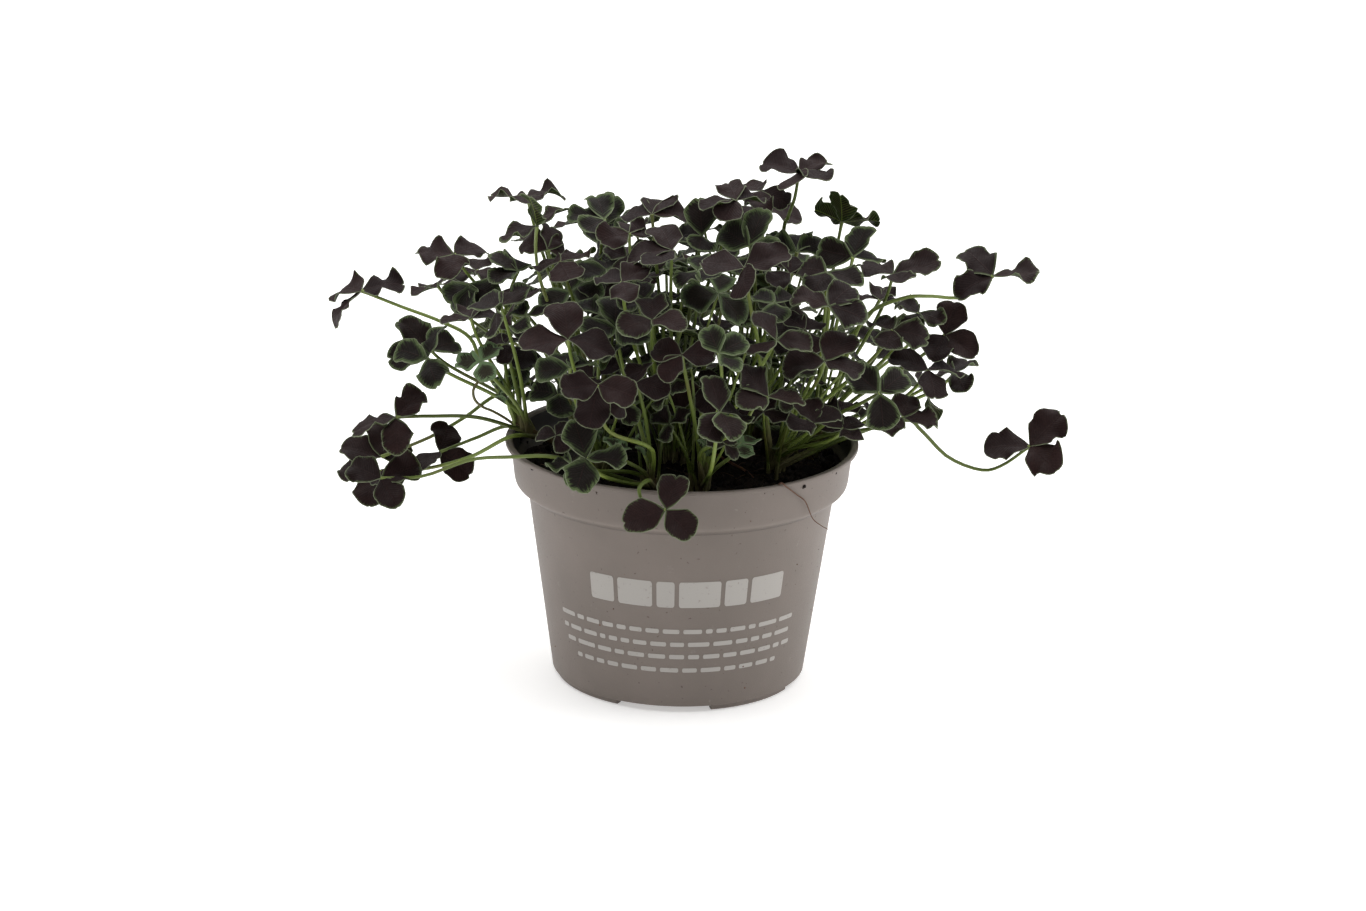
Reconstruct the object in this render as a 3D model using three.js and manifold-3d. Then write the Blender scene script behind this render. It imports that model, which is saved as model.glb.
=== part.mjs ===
// A dark-leaved white clover growing in a 12 cm nursery pot. Millimetres, +Z up.
// The pot stands on four short foot arcs and is filled with peat. Eleven runners stand in plain
// holes in the peat, and each carries the long-stalked leaves of three or four leaflets that
// grow from it, fused into one piece.

import * as THREE from "three";
import { mergeVertices } from "three/addons/utils/BufferGeometryUtils.js";
import Module from "manifold-3d";

const wasm = await Module();
wasm.setup();

// Driving dimensions of the pot
const RIM_RADIUS = 60;
const POT_HEIGHT = 83;
const WALL = 1.1;
const COLLAR_HEIGHT = 17.2;
const COLLAR_RADIUS = 57.6;
const CREASE_RADIUS = 52.2;
const BASE_RADIUS = 43.4;
const BASE_EDGE = 1.1;
const FOOT_HEIGHT = 2;
const FOOT_WIDTH = 3;
const FOOT_COUNT = 4;
const FOOT_ARC = 45;
const FOOT_START = -74;
const DRAIN_COUNT = 6;
const DRAIN_RADIUS = 3.5;
const DRAIN_RING = 27;
const ROUND_STEPS = 32;

// The peat that fills the pot
const GAP = 0.3;
const PEAT_LEVEL = 74.6;
const PEAT_RINGS = [13, 25, 36, 46];
const PEAT_LUMP = 0.9;

// Runners, leaf stalks and blades
const HOLE_FLOOR = 66;
const RUNNER_RADIUS = 2.6;
const RUNNER_TIP = 1.7;
const RUNNER_SIDES = 6;
const BEND_RISE = 1.2;
const ROOT_SPREAD = 11;
const ROOT_OFFSET = 0.9;
const STALK_RADIUS = 0.78;
const STALK_STEPS = 4;
const BLADE = 0.7;
const HUB_RADIUS = 1.05;
const LEAFLET_WIDTH = 0.9;
const WIDEST = 0.6;
const OUTLINE_STEPS = [0.34, 0.66, 0.95];
const SPREAD_ANGLE = (2 * Math.PI) / 3;
const RANDOM_SEED = 20811;

// Clear space that is kept between leaves while they are placed
const BLADE_CLEARANCE = 2.5;
const STALK_CLEARANCE = 2.1;
const CROWN_REACH = 13;
const DEPTH_STEPS = [0, 3, -3, 6, -6, 9, -9, 12, -12, 16, -16, 20, -20, 25];
const BOW_STEPS = [0, 5, -5, 10, -10, 16, -16];

// The view that the leaves are set out in: from the front, a little above the rim
const VIEW_DISTANCE = 1300;
const VIEW_ELEVATION = THREE.MathUtils.degToRad(17.45);
const VIEW_ROLL = THREE.MathUtils.degToRad(1.07);
const VIEW_HEIGHT = 76.8;

// Runners: where the foot stands in the peat, and where its growing tip is
const RUNNERS = {
  west: { foot: [-37, 4], tip: [-57, 1, 87] },
  southwest: { foot: [-27, -17], tip: [-28, -17.5, 80] },
  front: { foot: [-9, -34], tip: [-9.5, -35, 80] },
  south: { foot: [7, -31], tip: [7, -32, 79.5] },
  middle: { foot: [-3, -3], tip: [-3, -3.5, 81] },
  east: { foot: [30, -12], tip: [31, -12.5, 80] },
  southeast: { foot: [19, 9], tip: [19.5, 9, 81] },
  far_east: { foot: [44, 10], tip: [46, 10, 82] },
  northeast: { foot: [26, 31], tip: [27, 32, 81] },
  north: { foot: [-4, 31], tip: [-4, 33, 81] },
  northwest: { foot: [-29, 24], tip: [-31, 25, 82] },
};

// Leaves seen from the front. Each row is a name, a runner, the hub (across, up, depth), the
// leaflet length, and each leaflet's tip from the hub: across, up, then where it is known how many
// degrees its blade is turned out of the view about its midrib, and 1 or -1 where it leans away
// from the view or towards it against the rule.
const LEAVES = [
  ["1", "west", -109, 56, 6, 14.5, [14, 4, 52], [-9.3, 2.4, 42], [-11.2, -9.9, 74]],
  ["2", "west", -86.5, 33, -8, 12.5, [-11.2, 3.7, 25], [3.4, 11.9, 62], [3.1, -7.8]],
  ["3", "west", -85.5, 36, 8, 13.5, [-10.2, 10.9, 30], [8.5, 4.1], [-14, -3.4, 30]],
  ["4", "west", -68.3, 32, -14, 9.2, [-8.8, 0.3], [5.1, 6.5], [3, -6]],
  ["5", "west", -71.7, 46.8, -4, 11, [-9.5, -1.4, 70], [-1, 5], [9, 3, 50]],
  ["6", "west", -72.3, 58.3, 4, 13, [-8, -6.8, 20, 1], [9.5, -4.8, 15], [-1.5, -10.5]],
  ["7", "west", -97.2, 13, -8, 13.5, [8.5, 9.2], [-15, -2.7, 70], [0.7, -11.2]],
  ["8", "northwest", -102.3, -0.5, -1, 13.5, [-13.6, 4.4], [0, 11.2], [10.5, 1.7]],
  ["9", "west", -104.3, -5.6, 9, 13, [-12.6, 1.4], [-2.4, -9.2], [7.8, -2.7]],
  ["10", "front", -102.3, -7.7, -12, 13.5, [-11.2, 5.1], [12.9, 5.1, 25], [5.8, -8.8]],
  ["11", "west", -82.2, 1.2, -2, 12.5, [2.4, 9.5, 20], [-7.1, -4.4, 58], [10.2, -6.8, 20]],
  ["12", "northwest", -77.4, 68.5, 12, 13.5, [-13.3, 1.4, 52], [9.9, 5.1, 38], [-0.7, -6.8]],
  ["13", "northwest", -70, 63, 22, 11, [1.4, 6], [6.5, -2.4], [-8, -2]],
  ["14", "northwest", -52.6, 88.3, 8, 14, [-12.6, 0.3, 74], [11.6, 2.7, 70], [0.5, -3]],
  ["15", "northwest", -49.2, 78.1, -8, 13, [-1, 9.9, 55, -1], [8.5, 6.8, 68], [-12.2, -3.4, 68]],
  ["16", "southwest", -45.5, 69.9, -16, 12, [1.4, 9.2, 35], [7.5, 1.5, 20], [-9.9, 4.4, 20]],
  ["17", "west", -55.7, 62.7, 2, 11.5, [-9.2, 6.8, 55], [-0.7, 7.1], [-8.5, -1.7, 60]],
  ["18", "west", -61.5, 50.8, -18, 14, [8.8, 7.8], [-8.5, 3], [-2, -9, 75]],
  ["19", "southwest", -56.4, 52.5, -6, 12.5, [8.8, 6.5, 60], [-3, -8, 75], [-7, 4]],
  ["20", "northwest", -26.4, 80.4, 6, 12.5, [-2.7, 9.5], [-12.2, 2.4, 50], [-6.8, -4.4]],
  ["21", "north", -25.4, 78.7, 18, 12.5, [3, 10.5], [8.5, 2, 60], [-8, -3]],
  ["22", "middle", -10.1, 82.1, -10, 13, [-10.2, 2, 48], [11.6, 2, 46], [4.1, 7.5, 30]],
  ["23", "middle", -17.9, 75.7, -18, 11, [-8.8, -1.7, 35], [7.1, 1.7, 30], [0.5, 4.5]],
  ["24", "middle", -3.3, 69.9, -22, 14, [-14.6, -0.3, 62], [-4.1, 9.9], [-7.5, -5.4, 58]],
  ["25", "northwest", -25, 65, 12, 12, [1.7, 7.5], [-7.8, 2, 55], [9, -2]],
  ["26", "northwest", -41.4, 65.8, 4, 12.5, [9.9, 4.4, 70], [3.4, -5.8], [-8.5, 0.5]],
  ["27", "middle", -25.4, 63.1, -4, 12, [-9.9, -0.3, 45], [8.5, -1.5], [-1, 4.5]],
  ["28", "middle", -20.3, 59, -16, 11, [7.1, 5.4, 35], [-7.5, 2.5], [2, -5.5]],
  ["29", "southwest", -31.2, 55.6, -14, 12.5, [8.5, 4.4], [-9.2, 2.7], [0.5, -7]],
  ["30", "southwest", -27, 53, -26, 11, [8, 4.4], [-6, 6], [1, -8]],
  ["31", "southwest", -38.7, 39.6, -48, 15, [-1.7, 13.3], [-15, -2.4, 54], [15.3, -3.1, 54]],
  ["32", "front", -22.3, 43.4, -40, 13, [-0.3, 11.9], [9.5, -5], [-10.5, -0.7]],
  ["33", "southwest", -27.8, 48.1, -34, 11, [-7.5, 5.4], [6, 5], [0, -8]],
  ["34", "south", 0.1, 34.2, -52, 11, [-9.9, 3.1], [-6.5, -7.8], [10.5, 0]],
  ["35", "middle", -10.1, 46.1, -28, 12.5, [0, 8.8], [9.5, -0.7, 60], [-9, -2, 40]],
  ["36", "front", -15.5, 24.7, -48, 12, [10.5, -2.4], [1.4, 7.1], [-8.5, -9.9]],
  ["37", "front", -28.5, 24, -58, 13.5, [-11.9, -1.4, 20], [11.6, -3.4, 20], [-3, -14]],
  ["38", "southwest", -30, 26.7, -40, 12, [9.9, 6.5], [-8, 4], [-2, -8]],
  ["39", "southwest", -38, 29.8, -36, 11.5, [-11.6, -1, 30], [-3.4, 4.6], [6.5, 3.4]],
  ["40", "southwest", -42.1, 20.9, -28, 11, [-9.5, 2, 30], [7, 5], [2, -8]],
  ["41", "south", 6.5, 23, -42, 12, [-11.6, -1.7, 10], [7, 6], [4, -8]],
  ["42", "west", -59.8, 38, -10, 9, [-4, 2.5], [4, 3], [0, -6]],
  ["43", "southwest", -52.3, 37.5, -2, 12, [-4, 8], [9, 2], [-3, -8]],
  ["44", "west", -55, 31, 6, 11, [-1, -7.5], [8, 3], [-7, 4]],
  ["45", "front", -32.5, -0.9, -66, 13, [-3.7, 12.6], [12.9, -0.5, 52], [-2.5, -9.5]],
  ["46", "front", -37.5, -3, -54, 10, [-7, 1.5], [2, 6], [3, -5]],
  ["47", "front", -5.3, -18.5, -70, 12.5, [3.4, 11.2], [-13.9, -3.7, 15], [8.2, -8.2]],
  ["48", "front", -22.7, 2, -46, 6.5, [-1.5, 4.4], [4.5, 2], [1, -4]],
  ["50", "northeast", 39.9, 96.4, 14, 13.5, [-12.2, 4.8, 45], [9.9, 5.4, 48], [8.8, -1.5, 74], [-3.4, -4, 68]],
  ["51", "north", 18.5, 86.9, 4, 12, [-2.7, 7.8, 10], [-11.2, -1.7, 74], [8.2, 2, 62], [-4, -6.1]],
  ["52", "northeast", 27, 90, 10, 11.5, [8.8, -4.1, 35], [-5, 3], [-1, -6.5]],
  ["53", "northeast", 28.3, 84, 20, 13, [12.8, -4, 62], [-5, 5], [-7, -5]],
  ["54", "middle", 6.9, 74.7, -10, 12.5, [-0.7, 12.2, 15, -1], [-9.5, 1.5], [-1, -5]],
  ["55", "southeast", 23.2, 71.3, -16, 13, [-9.5, 6.5], [3.8, 12.7], [7.5, -3]],
  ["56", "southeast", 39.2, 69.2, -8, 12, [1, 8.5], [-10.9, 3.1, 25], [9, 4.8, 30]],
  ["57", "east", 21.2, 63.8, -38, 14, [-13.6, 3.4, 48], [14.3, 6.1, 45], [-0.7, -7.8, 60]],
  ["58", "middle", 5.5, 63, -26, 10, [1, 6.5], [-6, -4.5], [6, -2]],
  ["59", "east", 50.1, 50.8, -30, 12.5, [-10.9, 5.4, 50], [7.8, 7.5], [11.6, -3, 35]],
  ["60", "far_east", 49.4, 62.4, -18, 12.5, [-9.5, 2.7, 30], [11.2, -2.7], [-5, -6.5]],
  ["61", "far_east", 54.5, 79.4, 4, 12, [0, 9.5, 40, -1], [12.5, 1.7, 72], [-8, 5.4, 60]],
  ["62", "far_east", 58.3, 67.5, -12, 13, [-12, 3, 0], [4.4, 11.2, 35], [9.5, 1.5, 58]],
  ["63", "far_east", 71.9, 61.7, 4, 14.5, [-10.2, 5.4, 52], [15.3, 5, 52], [2, -3.5]],
  ["64", "far_east", 105.9, 61, 6, 14.5, [-8.5, 10.5, 30], [15.6, 1.5, 66], [-12.2, -4.8, 40]],
  ["65", "northeast", 67.4, 52.9, 18, 11, [1.7, 5.5], [-7, 3], [8, 0.5, 60]],
  ["66", "far_east", 89.5, 41, 4, 12.5, [3.4, 11.4], [9.9, -5.8], [-5.1, -8.2]],
  ["67", "far_east", 80.7, 48.5, -6, 10.5, [-6, 4.5, 40], [8.2, -2.5], [-4.5, -6.5]],
  ["68", "east", 71.9, 42.7, -10, 12, [12, -2, 20], [-6, 4], [-3.5, -6.5]],
  ["69", "east", 83.8, 29.1, -14, 13, [-12.2, 5.8, 45], [11.9, 0.7, 70], [2.4, -8.5]],
  ["70", "far_east", 92.9, 28.4, 6, 11, [5, 5], [3, -6], [-7, 1]],
  ["71", "far_east", 68.8, 38.9, 2, 11, [-9.5, 3], [3, -7], [6, 5]],
  ["73", "east", 67.4, 21.3, -32, 12.5, [-9.6, 8.2], [8.8, 7.1], [1.2, -12.2]],
  ["74", "east", 75.3, 12.8, -22, 12, [2.7, 7.8], [11.9, -1.4, 58], [-8, -3.5]],
  ["75", "east", 118.5, 3.2, -8, 14.5, [10.2, 11.2, 35], [-15.5, 1, 48], [7.5, -7]],
  ["76", "south", 32.1, 39.3, -48, 12, [-5.8, 9.9, 55], [11.9, -1, 42], [-8.2, -4.4, 66]],
  ["77", "south", 12.7, 34.9, -42, 10, [-3.7, 8.5], [8.8, 4.8], [6, -5, 55]],
  ["78", "middle", 13.7, 50.2, -24, 12, [-9.5, 4.5, 25], [6, 6], [8.8, -4]],
  ["79", "southeast", 31.7, 51.9, -26, 10, [-7, 4], [7, 4], [0, -6]],
  ["80", "southeast", 41.9, 42.7, -34, 10, [-6.5, 6], [5, 4], [2, -7]],
  ["81", "southeast", 36.8, 62, -14, 11, [-7, -4], [6, 3], [1, 7]],
  ["82", "east", 48.7, 32.1, -46, 13.5, [-14, -1.4, 42], [7.8, 9.5], [11.9, -3.6, 56]],
  ["83", "south", 29.4, 19.9, -58, 12.5, [-8.5, 10.5, 48], [-8.8, -2, 40], [11.6, 0, 66]],
  ["84", "south", 13, 14.8, -52, 12.5, [-3, 11.9], [-4.5, -9], [4.5, -7.5], [9.5, 0, 66]],
  ["85", "east", 36.2, 8, -34, 10, [-6.1, 8.2], [6.5, 4.5, 50], [-7, -3]],
  ["86", "east", 45, 11, -38, 11, [-3, 8], [8, 5], [-7, -1]],
  ["87", "east", 54, 14.8, -24, 11, [-8, 3], [-4, -7], [6, 3]],
  ["88", "east", 55, 9, -14, 9.5, [-7, 5], [4, -3], [6.5, 4]],
  ["89", "south", 20.5, 4, -46, 8, [-7, 2.5], [5, 3], [1, -4]],
];

// Stalks whose route shows from the front: points (across, up, depth) from the runner outwards
const ROUTES = {
  1: [[-67, 29, 2], [-72, 40, 3], [-82.2, 45.7, 4], [-95.8, 50.8, 5]],
  7: [[-68.6, 12.8, -2], [-85.6, 13.4, -5]],
  8: [[-48, 24, 22], [-62.8, 20.6, 14], [-73.7, 13.1, 8], [-85.6, 6.3, 3]],
  9: [[-58, 6.5, -12], [-72, -0.5, -6], [-88, -4.6, 2]],
  10: [[-27.8, -5.5, -40], [-43.1, -0.5, -36], [-57.7, -0.5, -27], [-72, -1.5, -19], [-88, -7, -15]],
  11: [[-59, 10, 0], [-70, 6, 0]],
  37: [[-9.5, -0.5, -42], [-12, 3.4, -47], [-25.5, 9, -53]],
  45: [[-18.3, -9.5, -47], [-27.5, -6.5, -58]],
  47: [[-11.5, -8.5, -56], [-14.5, -11.5, -65], [-12.5, -17.5, -66.5], [-8.5, -19.3, -66.8]],
  50: [[34, 72, 20], [36.2, 81.1, 16], [38.5, 87.9, 14]],
  57: [[26, 37.6, -28], [24.2, 46.1, -32], [22.5, 56.3, -36]],
  64: [[57, 36, 6], [63.4, 48.1, 5], [75.6, 53.6, 4], [84.5, 54.2, 5], [96, 54, 7]],
  69: [[60, 10, -12], [73.6, 18.2, -12], [80.4, 24, -13]],
  73: [[50.4, 12.1, -22], [60, 17.2, -28]],
  75: [[57, 6.5, -13], [75.6, 12.1, -13], [81.7, 8.3, -12], [90.6, -0.5, -10], [101.8, -4.9, -9],
    [109.3, -3.2, -9]],
  83: [[6.2, 0.2, -42], [12.3, 4.6, -48], [18.1, 7.7, -54], [21.5, 10.4, -57], [24.5, 16.2, -58]],
  84: [[10, -4.9, -40], [11.7, 5.3, -50]],
};

// Leaves on the far side, which the front view doesn't show, are spread by a rule
const BACK_LEAVES = 20;
const BACK_RUNNERS = ["northwest", "north", "northeast", "far_east"];
const BACK_REACH = 92;
const BACK_RISE = 52;
const BACK_FLOOR = 92;
const GOLDEN = 0.618034;

let randomState = RANDOM_SEED;

function random() {
  randomState = (Math.imul(1664525, randomState) + 1013904223) >>> 0;
  return randomState / 4294967296;
}

function vector(x, y, z) {
  return new THREE.Vector3(x, y, z);
}

// Directions of the view: to the right, upwards and away from the eye
const VIEW_AWAY = vector(0, Math.cos(VIEW_ELEVATION), -Math.sin(VIEW_ELEVATION));
const VIEW_UPRIGHT = vector(0, Math.sin(VIEW_ELEVATION), Math.cos(VIEW_ELEVATION));
const VIEW_RIGHT = vector(1, 0, 0);
const EYE = vector(0, 0, VIEW_HEIGHT).addScaledVector(VIEW_AWAY, -VIEW_DISTANCE);

function levelled(across, up) {
  const cos = Math.cos(VIEW_ROLL);
  const sin = Math.sin(VIEW_ROLL);
  return [across * cos - up * sin, up * cos + across * sin];
}

// The point at a depth that shows at (across, up) in the view
function seenAt(across, up, depth) {
  const [right, above] = levelled(across, up);
  const ray = VIEW_AWAY.clone().multiplyScalar(VIEW_DISTANCE);
  ray.addScaledVector(VIEW_RIGHT, right).addScaledVector(VIEW_UPRIGHT, above);
  return EYE.clone().addScaledVector(ray, (depth - EYE.y) / ray.y);
}

// A leaflet's midrib from its foreshortened tip: the rest of its length leans away where it
// points up, and towards the eye where it points down
function midrib(across, up, length, lean) {
  const [right, above] = levelled(across, up);
  const flat = Math.hypot(right, above);
  const sign = lean || (above >= 0 ? 1 : -1);
  const deep = sign * Math.sqrt(Math.max(0, length * length - flat * flat));
  const axis = VIEW_RIGHT.clone().multiplyScalar(right);
  return axis.addScaledVector(VIEW_UPRIGHT, above).addScaledVector(VIEW_AWAY, deep);
}

function leafNormal(ribs) {
  const normal = vector(0, 0, 0);
  const facing = VIEW_UPRIGHT.clone().multiplyScalar(0.8).addScaledVector(VIEW_AWAY, -0.6);
  for (let i = 0; i < ribs.length; i++) {
    const cross = ribs[i].clone().cross(ribs[(i + 1) % ribs.length]);
    normal.addScaledVector(cross, cross.dot(facing) < 0 ? -1 : 1);
  }
  return normal.normalize();
}

// The face that is turned out of the view by an angle and is nearest to the natural one
function turnedFace(axis, natural, turn) {
  const open = VIEW_AWAY.clone().addScaledVector(axis, -VIEW_AWAY.dot(axis)).normalize();
  let best = natural;
  let likeness = -Infinity;
  for (const angle of [turn, -turn, 180 + turn, 180 - turn]) {
    const face = open.clone().applyAxisAngle(axis, THREE.MathUtils.degToRad(angle));
    if (face.dot(natural) > likeness) {
      likeness = face.dot(natural);
      best = face;
    }
  }
  return best;
}

// One leaflet's frame and the draws that shape it
function leaflet(rib, normal, turn) {
  const length = rib.length();
  const axis = rib.clone().normalize();
  const natural = normal.clone().addScaledVector(axis, -normal.dot(axis)).normalize();
  const face = turn === undefined ? natural : turnedFace(axis, natural, turn);
  const side = face.clone().cross(axis);
  const draws = [];
  for (let i = 0; i < 7; i++) draws.push(random());
  return { axis, side, face, length, draws, width: length * LEAFLET_WIDTH * (0.92 + 0.16 * draws[0]) };
}

// The half-width of a leaflet along its midrib, as a share of its widest
function outline(along) {
  if (along < WIDEST) return Math.sin((Math.PI / 2) * (along / WIDEST)) ** 1.15;
  return Math.sqrt(Math.max(0, 1 - ((along - WIDEST) / (1 - WIDEST)) ** 2.4));
}

// How far the blade stands off its flat plane: fold, arch, waved margin and a lifted corner
function relief(piece, along, across) {
  const [, fold, arch, wave, phase, corner, curl] = piece.draws;
  const spread = Math.abs(across) * outline(along);
  const end = Math.max(0, (along - 0.55) / 0.45);
  let lift = (0.06 + 0.22 * fold) * spread * 0.45;
  lift -= (0.03 + 0.14 * arch) * along * along;
  lift += (0.04 + 0.07 * wave) * spread * Math.sin(2 * Math.PI * (1.3 * along + phase) + 1.6 * across);
  lift += 0.3 * (corner - 0.35) * end * end * spread * (across * (phase - 0.5) > 0 ? 1 : 0);
  lift += 0.22 * (curl - 0.6) * end * end;
  return lift * piece.length;
}

function bladePoint(hub, piece, along, across) {
  const offset = across * outline(along) * piece.width * 0.5;
  const point = hub.clone().addScaledVector(piece.axis, along * piece.length);
  point.addScaledVector(piece.side, offset);
  return point.addScaledVector(piece.face, relief(piece, along, across));
}

// A smooth curve through points, evaluated from 0 to 1 by equal shares of its spans
function curveThrough(points) {
  const last = points.length - 1;
  return (share) => {
    const span = Math.min(last - 1, Math.floor(share * last));
    const t = share * last - span;
    const b = points[span];
    const c = points[span + 1];
    const a = span > 0 ? points[span - 1] : b.clone().multiplyScalar(2).sub(c);
    const d = span < last - 1 ? points[span + 2] : c.clone().multiplyScalar(2).sub(b);
    const weights = [
      0.5 * (-t + 2 * t * t - t * t * t),
      0.5 * (2 - 5 * t * t + 3 * t * t * t),
      0.5 * (t + 4 * t * t - 3 * t * t * t),
      0.5 * (-t * t + t * t * t),
    ];
    const point = vector(0, 0, 0);
    [a, b, c, d].forEach((knot, i) => point.addScaledVector(knot, weights[i]));
    return point;
  };
}

function bezier(points) {
  return (share) => {
    const rest = 1 - share;
    const weights = [rest ** 3, 3 * rest * rest * share, 3 * rest * share * share, share ** 3];
    const point = vector(0, 0, 0);
    points.forEach((knot, i) => point.addScaledVector(knot, weights[i]));
    return point;
  };
}

// Where on its runner a stalk starts: flat stalks low down, steep ones near the tip
function rootOf(runner, hub, share) {
  const tip = vector(...runner.tip);
  const bend = vector(runner.foot[0], runner.foot[1], PEAT_LEVEL + BEND_RISE);
  const body = tip.clone().sub(bend);
  const used = Math.min(body.length() - 0.8, ROOT_SPREAD);
  const root = tip.clone().addScaledVector(body.normalize(), -0.8 - used * (1 - share));
  const away = vector(hub.x - root.x, hub.y - root.y, 0).normalize();
  return root.addScaledVector(away, ROOT_OFFSET);
}

function stalkCurve(leaf, hub, bow) {
  const root = leaf.root;
  const route = ROUTES[leaf.name];
  if (route) {
    const seen = route.map(([across, up, depth]) => seenAt(across, up, depth + leaf.shift));
    return curveThrough([root, ...seen, hub]);
  }
  const reach = hub.clone().sub(root);
  const length = reach.length();
  const straight = reach.clone().normalize();
  const rise = vector(0, 0, 1).addScaledVector(straight, 0.7).normalize();
  const arrive = straight.clone().multiplyScalar(0.75).addScaledVector(leaf.normal, 0.55).normalize();
  const sideways = vector(-straight.y, straight.x, 0).multiplyScalar(bow);
  const first = root.clone().addScaledVector(rise, 0.36 * length).add(sideways);
  const second = hub.clone().addScaledVector(arrive, -0.34 * length).add(sideways);
  return bezier([root, first, second, hub]);
}

// Points that stand for a leaf while it is tried in a place
const BLADE_SAMPLES = [
  [0.2, 0], [0.4, 0], [0.6, 0], [0.8, 0], [0.98, 0], [0.35, 0.9], [0.35, -0.9], [0.55, 0.5], [0.55, -0.5],
  [0.6, 1], [0.6, -1], [0.8, 0.5], [0.8, -0.5], [0.8, 1], [0.8, -1], [0.95, 0.9], [0.95, -0.9],
];
const STALK_SPACING = 2;

function samplesOf(leaf, hub, curve) {
  const blade = [];
  for (const piece of leaf.pieces) {
    for (const [along, across] of BLADE_SAMPLES) blade.push(bladePoint(hub, piece, along, across));
  }
  const stalk = [];
  const base = [];
  const steps = Math.ceil(hub.distanceTo(leaf.root) / STALK_SPACING);
  for (let i = 1; i < steps; i++) {
    const point = curve(i / steps);
    if (point.distanceTo(leaf.root) > CROWN_REACH) stalk.push(point);
    else if (point.distanceTo(leaf.root) > RUNNER_RADIUS + 1) base.push(point);
  }
  return { blade, stalk, base };
}

// Whether a point is in the pot's wall or the peat, with room for a stalk or blade round it
function inPot(point) {
  const radius = Math.hypot(point.x, point.y);
  if (radius > RIM_RADIUS + 1.4) return false;
  if (radius > RIM_RADIUS - 4.5) return point.z < POT_HEIGHT + 1.4;
  return point.z < PEAT_LEVEL + 2.6;
}

function nearest(points, others) {
  let least = 1e6;
  for (const p of points) {
    for (const q of others) {
      const distance = p.distanceToSquared(q);
      if (distance < least) least = distance;
    }
  }
  return Math.sqrt(least);
}

// How much clear space a trial place has beyond what is kept: below zero it touches something
function freedom(trial, placed) {
  let margin = Infinity;
  if ([...trial.blade, ...trial.stalk].some(inPot)) return -10;
  for (const other of placed) {
    if (trial.box.distanceTo(other.box) > BLADE_CLEARANCE) continue;
    const apart = trial.runner !== other.runner;
    const mine = apart ? [...trial.stalk, ...trial.base] : trial.stalk;
    const theirs = apart ? [...other.stalk, ...other.base] : other.stalk;
    margin = Math.min(margin, nearest(trial.blade, other.blade) - BLADE_CLEARANCE);
    margin = Math.min(margin, nearest(trial.blade, theirs) - BLADE_CLEARANCE);
    margin = Math.min(margin, nearest(mine, other.blade) - BLADE_CLEARANCE);
    margin = Math.min(margin, nearest(mine, theirs) - STALK_CLEARANCE);
  }
  return margin;
}

class Extent {
  constructor(points) {
    this.low = vector(Infinity, Infinity, Infinity);
    this.high = vector(-Infinity, -Infinity, -Infinity);
    for (const point of points) {
      this.low.min(point);
      this.high.max(point);
    }
  }

  distanceTo(other) {
    const x = Math.max(this.low.x - other.high.x, other.low.x - this.high.x, 0);
    const y = Math.max(this.low.y - other.high.y, other.low.y - this.high.y, 0);
    const z = Math.max(this.low.z - other.high.z, other.low.z - this.high.z, 0);
    return Math.hypot(x, y, z);
  }
}

// The leaves seen from the front, then those on the far side, as hubs with leaflets
function seenLeaf([name, runner, across, up, depth, size, ...tips]) {
  const ribs = [];
  for (const [tipAcross, tipUp, , lean] of tips) {
    ribs.push(midrib(tipAcross, tipUp, size * (0.95 + 0.1 * random()), lean));
  }
  const normal = leafNormal(ribs);
  const pieces = ribs.map((rib, i) => leaflet(rib, normal, tips[i][2]));
  const place = (shift) => seenAt(across, up, depth + shift);
  return { name, runner, normal, pieces, place, hub: place(0) };
}

function backLeaf(index) {
  const turn = (index * GOLDEN) % 1;
  const azimuth = THREE.MathUtils.degToRad(16 + 140 * turn);
  const lift = 0.05 + ((index + 0.5) / BACK_LEAVES) * 1.2;
  const outward = vector(Math.cos(azimuth) * Math.cos(lift), Math.sin(azimuth) * Math.cos(lift), Math.sin(lift));
  const reach = 0.84 + 0.2 * random();
  const nod = 0.25 + 0.5 * random();
  const normal = outward.clone().multiplyScalar(nod).add(vector(0, 0, 1 - nod)).normalize();
  const spin = 2 * Math.PI * random();
  const first = vector(1, 0, 0).cross(normal).normalize().applyAxisAngle(normal, spin);
  const pieces = [];
  for (let i = 0; i < 3; i++) {
    const rib = first.clone().applyAxisAngle(normal, i * SPREAD_ANGLE + 0.3 * (random() - 0.5));
    rib.addScaledVector(normal, 0.35 * (random() - 0.6)).normalize();
    pieces.push(leaflet(rib.multiplyScalar(11.5 + 2.5 * random()), normal));
  }
  const place = (shift) => {
    const radius = BACK_REACH * reach + shift;
    const rise = BACK_RISE * reach + 0.3 * shift;
    return vector(outward.x * radius * 1.08, outward.y * radius, BACK_FLOOR + outward.z * rise);
  };
  const hub = place(0);
  let runner = BACK_RUNNERS[0];
  const apart = (key) => Math.hypot(RUNNERS[key].foot[0] - 0.45 * hub.x, RUNNERS[key].foot[1] - 0.45 * hub.y);
  for (const key of BACK_RUNNERS) if (apart(key) < apart(runner)) runner = key;
  return { name: `back_${index + 1}`, runner, normal, pieces, place, hub };
}

// Steepness decides where on the runner each stalk starts
function giveRoots(leaves) {
  for (const key of Object.keys(RUNNERS)) {
    const mine = leaves.filter((leaf) => leaf.runner === key);
    const tip = vector(...RUNNERS[key].tip);
    const steepness = (leaf) => (leaf.hub.z - tip.z) / leaf.hub.distanceTo(tip);
    mine.sort((a, b) => steepness(a) - steepness(b));
    mine.forEach((leaf, i) => {
      leaf.root = rootOf(RUNNERS[key], leaf.hub, (i + 0.5) / mine.length);
    });
  }
}

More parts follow.
